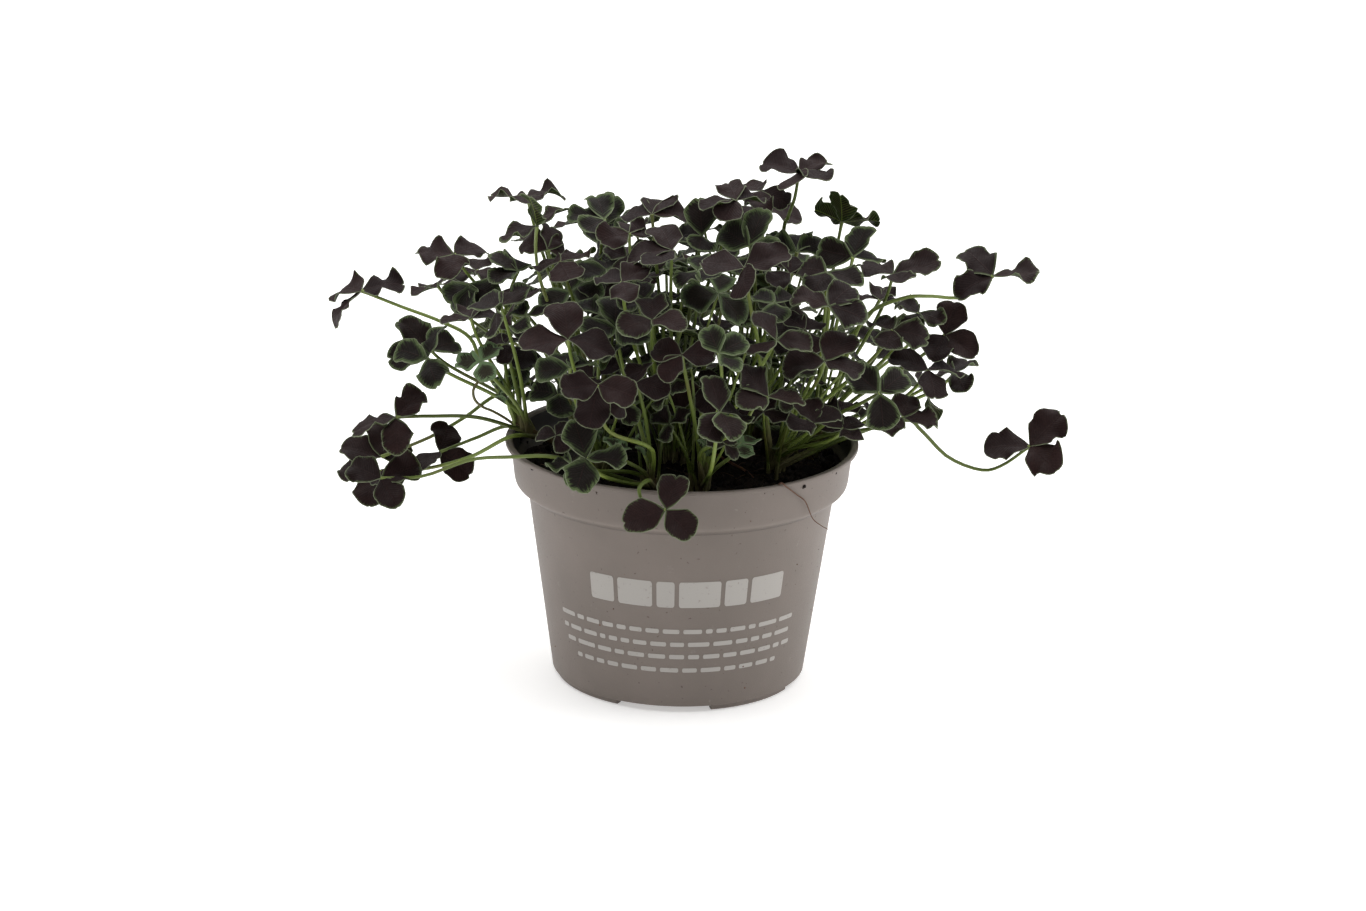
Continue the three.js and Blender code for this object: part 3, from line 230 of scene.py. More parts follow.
# Leaves seen from the front: a name, a runner, the hub (across, up, depth), the leaflet length,
# and each leaflet's tip from the hub: across, up, degrees turned out of the view, and its lean
LEAVES = [
    ["1", "west", -109, 56, 6, 14.5, [14, 4, 52], [-9.3, 2.4, 42], [-11.2, -9.9, 74]],
    ["2", "west", -86.5, 33, -8, 12.5, [-11.2, 3.7, 25], [3.4, 11.9, 62], [3.1, -7.8]],
    ["3", "west", -85.5, 36, 8, 13.5, [-10.2, 10.9, 30], [8.5, 4.1], [-14, -3.4, 30]],
    ["4", "west", -68.3, 32, -14, 9.2, [-8.8, 0.3], [5.1, 6.5], [3, -6]],
    ["5", "west", -71.7, 46.8, -4, 11, [-9.5, -1.4, 70], [-1, 5], [9, 3, 50]],
    ["6", "west", -72.3, 58.3, 4, 13, [-8, -6.8, 20, 1], [9.5, -4.8, 15], [-1.5, -10.5]],
    ["7", "west", -97.2, 13, -8, 13.5, [8.5, 9.2], [-15, -2.7, 70], [0.7, -11.2]],
    ["8", "northwest", -102.3, -0.5, -1, 13.5, [-13.6, 4.4], [0, 11.2], [10.5, 1.7]],
    ["9", "west", -104.3, -5.6, 9, 13, [-12.6, 1.4], [-2.4, -9.2], [7.8, -2.7]],
    ["10", "front", -102.3, -7.7, -12, 13.5, [-11.2, 5.1], [12.9, 5.1, 25], [5.8, -8.8]],
    ["11", "west", -82.2, 1.2, -2, 12.5, [2.4, 9.5, 20], [-7.1, -4.4, 58], [10.2, -6.8, 20]],
    ["12", "northwest", -77.4, 68.5, 12, 13.5, [-13.3, 1.4, 52], [9.9, 5.1, 38], [-0.7, -6.8]],
    ["13", "northwest", -70, 63, 22, 11, [1.4, 6], [6.5, -2.4], [-8, -2]],
    ["14", "northwest", -52.6, 88.3, 8, 14, [-12.6, 0.3, 74], [11.6, 2.7, 70], [0.5, -3]],
    ["15", "northwest", -49.2, 78.1, -8, 13, [-1, 9.9, 55, -1], [8.5, 6.8, 68], [-12.2, -3.4, 68]],
    ["16", "southwest", -45.5, 69.9, -16, 12, [1.4, 9.2, 35], [7.5, 1.5, 20], [-9.9, 4.4, 20]],
    ["17", "west", -55.7, 62.7, 2, 11.5, [-9.2, 6.8, 55], [-0.7, 7.1], [-8.5, -1.7, 60]],
    ["18", "west", -61.5, 50.8, -18, 14, [8.8, 7.8], [-8.5, 3], [-2, -9, 75]],
    ["19", "southwest", -56.4, 52.5, -6, 12.5, [8.8, 6.5, 60], [-3, -8, 75], [-7, 4]],
    ["20", "northwest", -26.4, 80.4, 6, 12.5, [-2.7, 9.5], [-12.2, 2.4, 50], [-6.8, -4.4]],
    ["21", "north", -25.4, 78.7, 18, 12.5, [3, 10.5], [8.5, 2, 60], [-8, -3]],
    ["22", "middle", -10.1, 82.1, -10, 13, [-10.2, 2, 48], [11.6, 2, 46], [4.1, 7.5, 30]],
    ["23", "middle", -17.9, 75.7, -18, 11, [-8.8, -1.7, 35], [7.1, 1.7, 30], [0.5, 4.5]],
    ["24", "middle", -3.3, 69.9, -22, 14, [-14.6, -0.3, 62], [-4.1, 9.9], [-7.5, -5.4, 58]],
    ["25", "northwest", -25, 65, 12, 12, [1.7, 7.5], [-7.8, 2, 55], [9, -2]],
    ["26", "northwest", -41.4, 65.8, 4, 12.5, [9.9, 4.4, 70], [3.4, -5.8], [-8.5, 0.5]],
    ["27", "middle", -25.4, 63.1, -4, 12, [-9.9, -0.3, 45], [8.5, -1.5], [-1, 4.5]],
    ["28", "middle", -20.3, 59, -16, 11, [7.1, 5.4, 35], [-7.5, 2.5], [2, -5.5]],
    ["29", "southwest", -31.2, 55.6, -14, 12.5, [8.5, 4.4], [-9.2, 2.7], [0.5, -7]],
    ["30", "southwest", -27, 53, -26, 11, [8, 4.4], [-6, 6], [1, -8]],
    ["31", "southwest", -38.7, 39.6, -48, 15, [-1.7, 13.3], [-15, -2.4, 54], [15.3, -3.1, 54]],
    ["32", "front", -22.3, 43.4, -40, 13, [-0.3, 11.9], [9.5, -5], [-10.5, -0.7]],
    ["33", "southwest", -27.8, 48.1, -34, 11, [-7.5, 5.4], [6, 5], [0, -8]],
    ["34", "south", 0.1, 34.2, -52, 11, [-9.9, 3.1], [-6.5, -7.8], [10.5, 0]],
    ["35", "middle", -10.1, 46.1, -28, 12.5, [0, 8.8], [9.5, -0.7, 60], [-9, -2, 40]],
    ["36", "front", -15.5, 24.7, -48, 12, [10.5, -2.4], [1.4, 7.1], [-8.5, -9.9]],
    ["37", "front", -28.5, 24, -58, 13.5, [-11.9, -1.4, 20], [11.6, -3.4, 20], [-3, -14]],
    ["38", "southwest", -30, 26.7, -40, 12, [9.9, 6.5], [-8, 4], [-2, -8]],
    ["39", "southwest", -38, 29.8, -36, 11.5, [-11.6, -1, 30], [-3.4, 4.6], [6.5, 3.4]],
    ["40", "southwest", -42.1, 20.9, -28, 11, [-9.5, 2, 30], [7, 5], [2, -8]],
    ["41", "south", 6.5, 23, -42, 12, [-11.6, -1.7, 10], [7, 6], [4, -8]],
    ["42", "west", -59.8, 38, -10, 9, [-4, 2.5], [4, 3], [0, -6]],
    ["43", "southwest", -52.3, 37.5, -2, 12, [-4, 8], [9, 2], [-3, -8]],
    ["44", "west", -55, 31, 6, 11, [-1, -7.5], [8, 3], [-7, 4]],
    ["45", "front", -32.5, -0.9, -66, 13, [-3.7, 12.6], [12.9, -0.5, 52], [-2.5, -9.5]],
    ["46", "front", -37.5, -3, -54, 10, [-7, 1.5], [2, 6], [3, -5]],
    ["47", "front", -5.3, -18.5, -70, 12.5, [3.4, 11.2], [-13.9, -3.7, 15], [8.2, -8.2]],
    ["48", "front", -22.7, 2, -46, 6.5, [-1.5, 4.4], [4.5, 2], [1, -4]],
    ["50", "northeast", 39.9, 96.4, 14, 13.5, [-12.2, 4.8, 45], [9.9, 5.4, 48], [8.8, -1.5, 74],
     [-3.4, -4, 68]],
    ["51", "north", 18.5, 86.9, 4, 12, [-2.7, 7.8, 10], [-11.2, -1.7, 74], [8.2, 2, 62], [-4, -6.1]],
    ["52", "northeast", 27, 90, 10, 11.5, [8.8, -4.1, 35], [-5, 3], [-1, -6.5]],
    ["53", "northeast", 28.3, 84, 20, 13, [12.8, -4, 62], [-5, 5], [-7, -5]],
    ["54", "middle", 6.9, 74.7, -10, 12.5, [-0.7, 12.2, 15, -1], [-9.5, 1.5], [-1, -5]],
    ["55", "southeast", 23.2, 71.3, -16, 13, [-9.5, 6.5], [3.8, 12.7], [7.5, -3]],
    ["56", "southeast", 39.2, 69.2, -8, 12, [1, 8.5], [-10.9, 3.1, 25], [9, 4.8, 30]],
    ["57", "east", 21.2, 63.8, -38, 14, [-13.6, 3.4, 48], [14.3, 6.1, 45], [-0.7, -7.8, 60]],
    ["58", "middle", 5.5, 63, -26, 10, [1, 6.5], [-6, -4.5], [6, -2]],
    ["59", "east", 50.1, 50.8, -30, 12.5, [-10.9, 5.4, 50], [7.8, 7.5], [11.6, -3, 35]],
    ["60", "far_east", 49.4, 62.4, -18, 12.5, [-9.5, 2.7, 30], [11.2, -2.7], [-5, -6.5]],
    ["61", "far_east", 54.5, 79.4, 4, 12, [0, 9.5, 40, -1], [12.5, 1.7, 72], [-8, 5.4, 60]],
    ["62", "far_east", 58.3, 67.5, -12, 13, [-12, 3, 0], [4.4, 11.2, 35], [9.5, 1.5, 58]],
    ["63", "far_east", 71.9, 61.7, 4, 14.5, [-10.2, 5.4, 52], [15.3, 5, 52], [2, -3.5]],
    ["64", "far_east", 105.9, 61, 6, 14.5, [-8.5, 10.5, 30], [15.6, 1.5, 66], [-12.2, -4.8, 40]],
    ["65", "northeast", 67.4, 52.9, 18, 11, [1.7, 5.5], [-7, 3], [8, 0.5, 60]],
    ["66", "far_east", 89.5, 41, 4, 12.5, [3.4, 11.4], [9.9, -5.8], [-5.1, -8.2]],
    ["67", "far_east", 80.7, 48.5, -6, 10.5, [-6, 4.5, 40], [8.2, -2.5], [-4.5, -6.5]],
    ["68", "east", 71.9, 42.7, -10, 12, [12, -2, 20], [-6, 4], [-3.5, -6.5]],
    ["69", "east", 83.8, 29.1, -14, 13, [-12.2, 5.8, 45], [11.9, 0.7, 70], [2.4, -8.5]],
    ["70", "far_east", 92.9, 28.4, 6, 11, [5, 5], [3, -6], [-7, 1]],
    ["71", "far_east", 68.8, 38.9, 2, 11, [-9.5, 3], [3, -7], [6, 5]],
    ["73", "east", 67.4, 21.3, -32, 12.5, [-9.6, 8.2], [8.8, 7.1], [1.2, -12.2]],
    ["74", "east", 75.3, 12.8, -22, 12, [2.7, 7.8], [11.9, -1.4, 58], [-8, -3.5]],
    ["75", "east", 118.5, 3.2, -8, 14.5, [10.2, 11.2, 35], [-15.5, 1, 48], [7.5, -7]],
    ["76", "south", 32.1, 39.3, -48, 12, [-5.8, 9.9, 55], [11.9, -1, 42], [-8.2, -4.4, 66]],
    ["77", "south", 12.7, 34.9, -42, 10, [-3.7, 8.5], [8.8, 4.8], [6, -5, 55]],
    ["78", "middle", 13.7, 50.2, -24, 12, [-9.5, 4.5, 25], [6, 6], [8.8, -4]],
    ["79", "southeast", 31.7, 51.9, -26, 10, [-7, 4], [7, 4], [0, -6]],
    ["80", "southeast", 41.9, 42.7, -34, 10, [-6.5, 6], [5, 4], [2, -7]],
    ["81", "southeast", 36.8, 62, -14, 11, [-7, -4], [6, 3], [1, 7]],
    ["82", "east", 48.7, 32.1, -46, 13.5, [-14, -1.4, 42], [7.8, 9.5], [11.9, -3.6, 56]],
    ["83", "south", 29.4, 19.9, -58, 12.5, [-8.5, 10.5, 48], [-8.8, -2, 40], [11.6, 0, 66]],
    ["84", "south", 13, 14.8, -52, 12.5, [-3, 11.9], [-4.5, -9], [4.5, -7.5], [9.5, 0, 66]],
    ["85", "east", 36.2, 8, -34, 10, [-6.1, 8.2], [6.5, 4.5, 50], [-7, -3]],
    ["86", "east", 45, 11, -38, 11, [-3, 8], [8, 5], [-7, -1]],
    ["87", "east", 54, 14.8, -24, 11, [-8, 3], [-4, -7], [6, 3]],
    ["88", "east", 55, 9, -14, 9.5, [-7, 5], [4, -3], [6.5, 4]],
    ["89", "south", 20.5, 4, -46, 8, [-7, 2.5], [5, 3], [1, -4]],
]

# Stalks whose route shows: points (across, up, depth) from the runner outwards
ROUTES = {
    "1": [[-67, 29, 2], [-72, 40, 3], [-82.2, 45.7, 4], [-95.8, 50.8, 5]],
    "7": [[-68.6, 12.8, -2], [-85.6, 13.4, -5]],
    "8": [[-48, 24, 22], [-62.8, 20.6, 14], [-73.7, 13.1, 8], [-85.6, 6.3, 3]],
    "9": [[-58, 6.5, -12], [-72, -0.5, -6], [-88, -4.6, 2]],
    "10": [[-27.8, -5.5, -40], [-43.1, -0.5, -36], [-57.7, -0.5, -27], [-72, -1.5, -19],
           [-88, -7, -15]],
    "11": [[-59, 10, 0], [-70, 6, 0]],
    "37": [[-9.5, -0.5, -42], [-12, 3.4, -47], [-25.5, 9, -53]],
    "45": [[-18.3, -9.5, -47], [-27.5, -6.5, -58]],
    "47": [[-11.5, -8.5, -56], [-14.5, -11.5, -65], [-12.5, -17.5, -66.5], [-8.5, -19.3, -66.8]],
    "50": [[34, 72, 20], [36.2, 81.1, 16], [38.5, 87.9, 14]],
    "57": [[26, 37.6, -28], [24.2, 46.1, -32], [22.5, 56.3, -36]],
    "64": [[57, 36, 6], [63.4, 48.1, 5], [75.6, 53.6, 4], [84.5, 54.2, 5], [96, 54, 7]],
    "69": [[60, 10, -12], [73.6, 18.2, -12], [80.4, 24, -13]],
    "73": [[50.4, 12.1, -22], [60, 17.2, -28]],
    "75": [[57, 6.5, -13], [75.6, 12.1, -13], [81.7, 8.3, -12], [90.6, -0.5, -10],
           [101.8, -4.9, -9], [109.3, -3.2, -9]],
    "83": [[6.2, 0.2, -42], [12.3, 4.6, -48], [18.1, 7.7, -54], [21.5, 10.4, -57], [24.5, 16.2, -58]],
    "84": [[10, -4.9, -40], [11.7, 5.3, -50]],
}

# Leaves on the far side follow a rule
BACK_LEAVES = 20
BACK_RUNNERS = ["northwest", "north", "northeast", "far_east"]
BACK_REACH = 92
BACK_RISE = 52
BACK_FLOOR = 92
GOLDEN = 0.618034

# How wide the green margin is on some leaves, and how young and pale some are, from 0 to 1
GREEN_MARGINS = {
    "2": 0.75, "3": 0.5, "6": 0.9, "17": 0.6, "18": 0.4, "20": 0.7, "21": 0.8, "25": 0.7, "27": 0.6,
    "29": 0.8, "31": 0.1, "32": 0.75, "33": 0.8, "39": 0.9, "40": 0.8, "43": 0.4, "44": 0.6,
    "45": 0.7, "46": 0.75, "54": 0.6, "55": 0.8, "56": 0.8, "58": 0.6, "59": 0.3, "60": 0.4,
    "62": 0.6, "67": 0.4, "71": 0.4, "73": 0.5, "76": 0.3, "77": 0.8, "78": 0.6, "79": 0.7,
    "82": 0.25, "83": 0.35, "84": 0.4, "85": 0.6,
}
YOUNG_LEAVES = {"4": 0.7, "39": 0.12, "48": 0.85, "77": 0.12, "89": 0.8}

# Leaves whose leaflets are ruffled and curled more than the others
CURLED_LEAVES = ["1", "7", "10", "12", "14", "15", "16", "17", "26", "46", "52", "61", "63", "64",
                 "65", "67", "68", "70", "74", "75", "86", "87"]

random_state = RANDOM_SEED


# The solids' source draws the same numbers in the same order, so its leaves stand where these do
def random():
    global random_state
    random_state = (1664525 * random_state + 1013904223) % RANDOM_RANGE
    return random_state / RANDOM_RANGE


def vec(x, y, z):
    return np.array([x, y, z], float)


def unit(vector):
    return vector / np.linalg.norm(vector)


def polar(radius, angle, height=0.0):
    return vec(radius * math.cos(angle), radius * math.sin(angle), height)


def rotated(vector, axis, angle):
    cos, sin = math.cos(angle), math.sin(angle)
    return vector * cos + np.cross(axis, vector) * sin + axis * np.dot(axis, vector) * (1 - cos)


def across_from(vector, axis):
    return unit(vector - axis * np.dot(vector, axis))


UP = vec(0, 0, 1)
RIGHT = vec(1, 0, 0)
AWAY = vec(0, math.cos(VIEW_ELEVATION), -math.sin(VIEW_ELEVATION))
UPRIGHT = vec(0, math.sin(VIEW_ELEVATION), math.cos(VIEW_ELEVATION))
EYE = VIEW_HEIGHT * UP - VIEW_DISTANCE * AWAY
BENDS = {key: vec(*foot, PEAT_LEVEL + BEND_RISE) for key, (foot, _) in RUNNERS.items()}
TIPS = {key: vec(*tip) for key, (_, tip) in RUNNERS.items()}


# The view is rolled a little, so what the photograph shows level isn't quite
def levelled(across, up):
    cos, sin = math.cos(VIEW_ROLL), math.sin(VIEW_ROLL)
    return across * cos - up * sin, up * cos + across * sin


# The point seen at a place in the view, at a depth behind the pot's axis
def seen_at(across, up, depth):
    right, above = levelled(across, up)
    ray = VIEW_DISTANCE * AWAY + right * RIGHT + above * UPRIGHT
    return EYE + ray * ((depth - EYE[1]) / ray[1])


# A midrib looks as long as it is only where it lies across the view: the rest of its length is depth
def midrib(across, up, length, lean):
    right, above = levelled(across, up)
    sign = lean or (1 if above >= 0 else -1)
    deep = sign * math.sqrt(max(0, length * length - right * right - above * above))
    return right * RIGHT + above * UPRIGHT + deep * AWAY


def leaf_normal(ribs):
    facing = 0.8 * UPRIGHT - 0.6 * AWAY
    total = vec(0, 0, 0)
    for i, rib in enumerate(ribs):
        cross = np.cross(rib, ribs[(i + 1) % len(ribs)])
        total += cross if np.dot(cross, facing) >= 0 else -cross
    return unit(total)


def turned_face(axis, natural, turn):
    open_face = across_from(AWAY, axis)
    turns = (turn, -turn, 180 + turn, 180 - turn)
    faces = [rotated(open_face, axis, math.radians(angle)) for angle in turns]
    return max(faces, key=lambda face: np.dot(face, natural))


class Leaflet:
    def __init__(self, rib, normal, turn=None):
        self.length = np.linalg.norm(rib)
        self.axis = rib / self.length
        natural = across_from(normal, self.axis)
        self.face = natural if turn is None else turned_face(self.axis, natural, turn)
        self.side = np.cross(self.face, self.axis)
        self.axes = (self.axis, self.side, self.face)
        self.draws = [random() for _ in range(7)]
        self.width = self.length * LEAFLET_WIDTH * (0.92 + 0.16 * self.draws[0])


# Half the width of a leaflet's plain outline, from its base at 0 to its tip at 1
def outline(along):
    rising = np.sin(0.5 * math.pi * np.clip(along / WIDEST, 0, 1)) ** 1.15
    falling = np.sqrt(np.maximum(0, 1 - np.clip((along - WIDEST) / (1 - WIDEST), 0, 1) ** 2.4))
    return np.where(along < WIDEST, rising, falling)


# Waves that run across a leaflet at a slant
def wave(along, across, pace, phase, slant):
    return np.sin(TURN * (pace * along + phase) + slant * across)


# How far a leaflet's blade rises off its plane: folded at the midrib, arched and waved
def relief(piece, along, across):
    _, fold, arch, height, phase, corner, curl = piece.draws
    spread = np.abs(across) * outline(along)
    end = np.maximum(0, (along - 0.55) / 0.45)
    lift = (0.06 + 0.22 * fold) * spread * 0.45
    lift = lift - (0.03 + 0.14 * arch) * along * along
    lift = lift + (0.04 + 0.07 * height) * spread * wave(along, across, 1.3, phase, 1.6)
    lift = lift + 0.3 * (corner - 0.35) * end * end * spread * (across * (phase - 0.5) > 0)
    lift = lift + 0.22 * (curl - 0.6) * end * end
    return lift * piece.length


# Points at distances along three directions from the hub
def laid(hub, axes, *distances):
    points = hub
    for distance, direction in zip(distances, axes):
        points = points + np.multiply.outer(distance, direction)
    return points


def blade_points(hub, piece, along, across):
    offset = across * outline(along) * piece.width * 0.5
    return laid(hub, piece.axes, along * piece.length, offset, relief(piece, along, across))


def curve_through(points):
    knots = np.array(points)
    last = len(knots) - 1

    def curve(share):
        share = np.asarray(share, float)
        span = np.minimum(last - 1, np.floor(share * last).astype(int))
        t = (share * last - span)[..., None]
        b, c = knots[span], knots[span + 1]
        a = np.where((span > 0)[..., None], knots[np.maximum(span - 1, 0)], 2 * b - c)
        d = np.where((span < last - 1)[..., None], knots[np.minimum(span + 2, last)], 2 * c - b)
        return (0.5 * (-t + 2 * t**2 - t**3) * a + 0.5 * (2 - 5 * t**2 + 3 * t**3) * b
                + 0.5 * (t + 4 * t**2 - 3 * t**3) * c + 0.5 * (-t**2 + t**3) * d)

    return curve


def bezier(a, b, c, d):
    def curve(share):
        t = np.asarray(share, float)[..., None]
        rest = 1 - t
        return rest**3 * a + 3 * rest**2 * t * b + 3 * rest * t**2 * c + t**3 * d

    return curve


# Leaves root one after another down the runner from its tip
def root_of(key, hub, share):
    body = TIPS[key] - BENDS[key]
    length = np.linalg.norm(body)
    used = min(length - TIP_BARE, ROOT_SPREAD)
    root = TIPS[key] + body / length * (-TIP_BARE - used * (1 - share))
    return root + ROOT_OFFSET * unit(vec(hub[0] - root[0], hub[1] - root[1], 0))


class Leaf:
    def __init__(self, name, runner, normal, pieces, place):
        self.name, self.runner, self.normal = name, runner, normal
        self.pieces, self.place = pieces, place
        self.hub = place(0)

    def stalk(self, hub, bow, shift):
        if self.name in ROUTES:
            route = [seen_at(across, up, depth + shift) for across, up, depth in ROUTES[self.name]]
            return curve_through([self.root, *route, hub])
        reach = hub - self.root
        length = np.linalg.norm(reach)
        straight = reach / length
        rise = unit(UP + 0.7 * straight)
        arrive = unit(0.75 * straight + 0.55 * self.normal)
        sideways = vec(-straight[1], straight[0], 0) * bow
        first = self.root + 0.36 * length * rise + sideways
        second = hub - 0.34 * length * arrive + sideways
        return bezier(self.root, first, second, hub)


def seen_leaf(row):
    name, runner, across, up, depth, size, *tips = row
    ribs = []
    for tip in tips:
        lean = tip[3] if len(tip) > 3 else 0
        ribs.append(midrib(tip[0], tip[1], size * (0.95 + 0.1 * random()), lean))
    normal = leaf_normal(ribs)
    turns = [tip[2] if len(tip) > 2 else None for tip in tips]
    pieces = [Leaflet(rib, normal, turn) for rib, turn in zip(ribs, turns)]
    return Leaf(name, runner, normal, pieces, lambda shift: seen_at(across, up, depth + shift))


def back_leaf(index):
    azimuth = math.radians(16 + 140 * ((index * GOLDEN) % 1))
    lift = 0.05 + ((index + 0.5) / BACK_LEAVES) * 1.2
    outward = polar(math.cos(lift), azimuth, math.sin(lift))
    reach = 0.84 + 0.2 * random()
    nod = 0.25 + 0.5 * random()
    normal = unit(outward * nod + (1 - nod) * UP)
    first = rotated(unit(np.cross(RIGHT, normal)), normal, TURN * random())
    pieces = []
    for i in range(3):
        rib = rotated(first, normal, i * SPREAD_ANGLE + 0.3 * (random() - 0.5))
        rib = unit(rib + normal * 0.35 * (random() - 0.6))
        pieces.append(Leaflet(rib * (11.5 + 2.5 * random()), normal))

    def place(shift):
        radius, rise = BACK_REACH * reach + shift, BACK_RISE * reach + 0.3 * shift
        return vec(outward[0] * radius * 1.08, outward[1] * radius, BACK_FLOOR + outward[2] * rise)

    hub = place(0)

    def gap(key):
        x, y = RUNNERS[key][0]
        return math.hypot(x - 0.45 * hub[0], y - 0.45 * hub[1])

    return Leaf(f"back_{index + 1}", min(BACK_RUNNERS, key=gap), normal, pieces, place)


# The steeper a leaf's way up from the tip, the nearer to the tip it roots
def give_roots(leaves):
    for key, tip in TIPS.items():
        mine = [leaf for leaf in leaves if leaf.runner == key]
        mine.sort(key=lambda leaf: (leaf.hub[2] - tip[2]) / np.linalg.norm(leaf.hub - tip))
        for i, leaf in enumerate(mine):
            leaf.root = root_of(key, leaf.hub, (i + 0.5) / len(mine))


# Points that stand for a leaf while it is tried in a place
MIDRIB_SAMPLES = [0.2, 0.4, 0.6, 0.8, 0.98]
SIDE_SAMPLES = [(0.35, 0.9), (0.55, 0.5), (0.6, 1), (0.8, 0.5), (0.8, 1), (0.95, 0.9)]
BLADE_ALONG = np.array(MIDRIB_SAMPLES + [along for along, _ in SIDE_SAMPLES for _ in range(2)])
BLADE_ACROSS = np.array([0] * 5 + [side * across for _, across in SIDE_SAMPLES for side in (1, -1)])


class Trial:
    def __init__(self, runner, blade, stalk, base):
        self.runner, self.blade, self.stalk = runner, blade, stalk
        self.whole_stalk = np.concatenate([stalk, base])
        every = np.concatenate([blade, stalk, base])
        self.low, self.high = every.min(axis=0), every.max(axis=0)


def try_place(leaf, shift, bow):
    hub = leaf.place(shift)
    curve = leaf.stalk(hub, bow, shift)
    blade = np.concatenate([blade_points(hub, p, BLADE_ALONG, BLADE_ACROSS) for p in leaf.pieces])
    steps = math.ceil(np.linalg.norm(hub - leaf.root) / STALK_SPACING)
    path = curve(np.arange(1, steps) / steps)
    reach = np.linalg.norm(path - leaf.root, axis=1)
    stalk = path[reach > CROWN_REACH]
    base = path[(reach <= CROWN_REACH) & (reach > RUNNER_RADIUS + 1)]
    trial = Trial(leaf.runner, blade, stalk, base)
    trial.hub, trial.curve = hub, curve
    return trial


def runner_obstacle(key):
    body = TIPS[key] - BENDS[key]
    base = [BENDS[key] + body * i / 8 + polar(2, k * math.pi / 2) for i in range(9) for k in range(4)]
    nothing = np.zeros((0, 3))
    return Trial(key, nothing, nothing, np.array(base))


def in_pot(points):
    radius, height = np.hypot(points[:, 0], points[:, 1]), points[:, 2]
    inside = radius <= RIM_RADIUS - LIP_WIDTH
    over_wall = (radius <= RIM_RADIUS + POT_CLEARANCE) & ~inside
    in_wall = over_wall & (height < POT_HEIGHT + POT_CLEARANCE)
    return in_wall | (inside & (height < PEAT_LEVEL + PEAT_CLEARANCE))


def nearest(points, others):
    if len(points) == 0 or len(others) == 0:
        return NEVER_NEAR
    gaps = points[:, None, :] - others[None, :, :]
    return math.sqrt((gaps * gaps).sum(axis=2).min())


# The least distance by which a tried leaf clears those placed before it. It stops looking once
# that isn't better than what an earlier try had.
def freedom(trial, placed, enough):
    margin = math.inf
    if in_pot(np.concatenate([trial.blade, trial.stalk])).any():
        return BLOCKED
    for other in placed:
        apart = np.maximum(0, np.maximum(trial.low - other.high, other.low - trial.high))
        if np.linalg.norm(apart) > BLADE_CLEARANCE:
            continue
        strange = trial.runner != other.runner
        mine = trial.whole_stalk if strange else trial.stalk
        theirs = other.whole_stalk if strange else other.stalk
        for ours, others, clearance in (
            (trial.blade, other.blade, BLADE_CLEARANCE), (trial.blade, theirs, BLADE_CLEARANCE),
            (mine, other.blade, BLADE_CLEARANCE), (mine, theirs, STALK_CLEARANCE),
        ):
            margin = min(margin, nearest(ours, others) - clearance)
        if margin <= enough:
            return margin
    return margin


# Each leaf, from the front backwards, takes the first depth and bow that are clear of the others
def settle(leaves):
    placed = [runner_obstacle(key) for key in RUNNERS]
    for leaf in sorted(leaves, key=lambda item: item.hub[1]):
        best, best_margin = None, -math.inf
        for shift in DEPTH_STEPS:
            for bow in BOW_STEPS:
                if best_margin > 0:
                    continue
                trial = try_place(leaf, shift, bow)
                margin = freedom(trial, placed, best_margin)
                if margin > best_margin:
                    best, best_margin = trial, margin
        leaf.hub, leaf.curve = best.hub, best.curve
        placed.append(best)
    return placed


# Meshes are gathered in batches: points, quads, a material for each quad, and two sets of
# three numbers at each point that the materials read
class Batch:
    def __init__(self):
        self.points, self.quads, self.slots, self.place, self.kind = [], [], [], [], []
        self.count = 0

    def add(self, points, quads, slot, place=(0, 0, 0), kind=(0, 0, 0)):
        self.points.append(points)
        self.quads.append(np.asarray(quads) + self.count)
        self.slots.append(np.broadcast_to(slot, len(quads)))
        for rows, values in ((self.place, place), (self.kind, kind)):
            rows.append(np.broadcast_to(np.asarray(values, float), (len(points), 3)))
        self.count += len(points)

    def object(self, name, materials, sharp=45):
        mesh = bpy.data.meshes.new(name)
        points = (np.concatenate(self.points) + POT_CENTRE) * METRES
        quads = np.concatenate(self.quads).tolist()
        # A quad whose last two corners are one point is a triangle
        faces = [quad if quad[3] != quad[2] else quad[:3] for quad in quads]
        mesh.from_pydata(points.tolist(), [], faces)
        for material in materials:
            mesh.materials.append(material)
        mesh.polygons.foreach_set("material_index", np.concatenate(self.slots).astype(int))
        for label, rows in (("place", self.place), ("kind", self.kind)):
            attribute = mesh.attributes.new(label, "FLOAT_VECTOR", "POINT")
            attribute.data.foreach_set("vector", np.concatenate(rows).ravel())
        mesh.polygons.foreach_set("use_smooth", [True] * len(mesh.polygons))
        mesh.set_sharp_from_angle(angle=math.radians(sharp))
        mesh.validate()
        mesh.update()
        return link(bpy.data.objects.new(name, mesh))


def link(thing):
    bpy.context.collection.objects.link(thing)
    return thing


def finish_piece(piece):
    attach(piece, "root")
    return piece


def ring_points(radius, angles, height):
    flat = [radius * np.cos(angles), radius * np.sin(angles)]
    return np.stack([*flat, np.full(len(angles), height)], axis=1)


# Faces between the neighbouring points of a grid whose rows follow each other
def grid_quads(rows, columns, start=0, wrap=False):
    quads = []
    for i in range(rows - 1):
        for j in range(columns if wrap else columns - 1):
            a = start + i * columns + j
            b = start + i * columns + (j + 1) % columns
            quads.append((a, b, b + columns, a + columns))
    return quads


def fan_quads(ring, centre):
    return [(ring[i], ring[(i + 1) % len(ring)], centre, centre) for i in range(len(ring))]


# A tube of rings, closed by a fan at each end round two more points
def tube_quads(rows, sides):
    size = rows * sides
    quads = grid_quads(rows, sides, wrap=True)
    quads += [(b, a, c, d) for a, b, c, d in fan_quads(range(sides), size)]
    return quads + fan_quads(range(size - sides, size), size + 1)


# Places of the clover's materials in its pieces
BLADE, UNDERSIDE, STALK, WRAPPING = range(4)

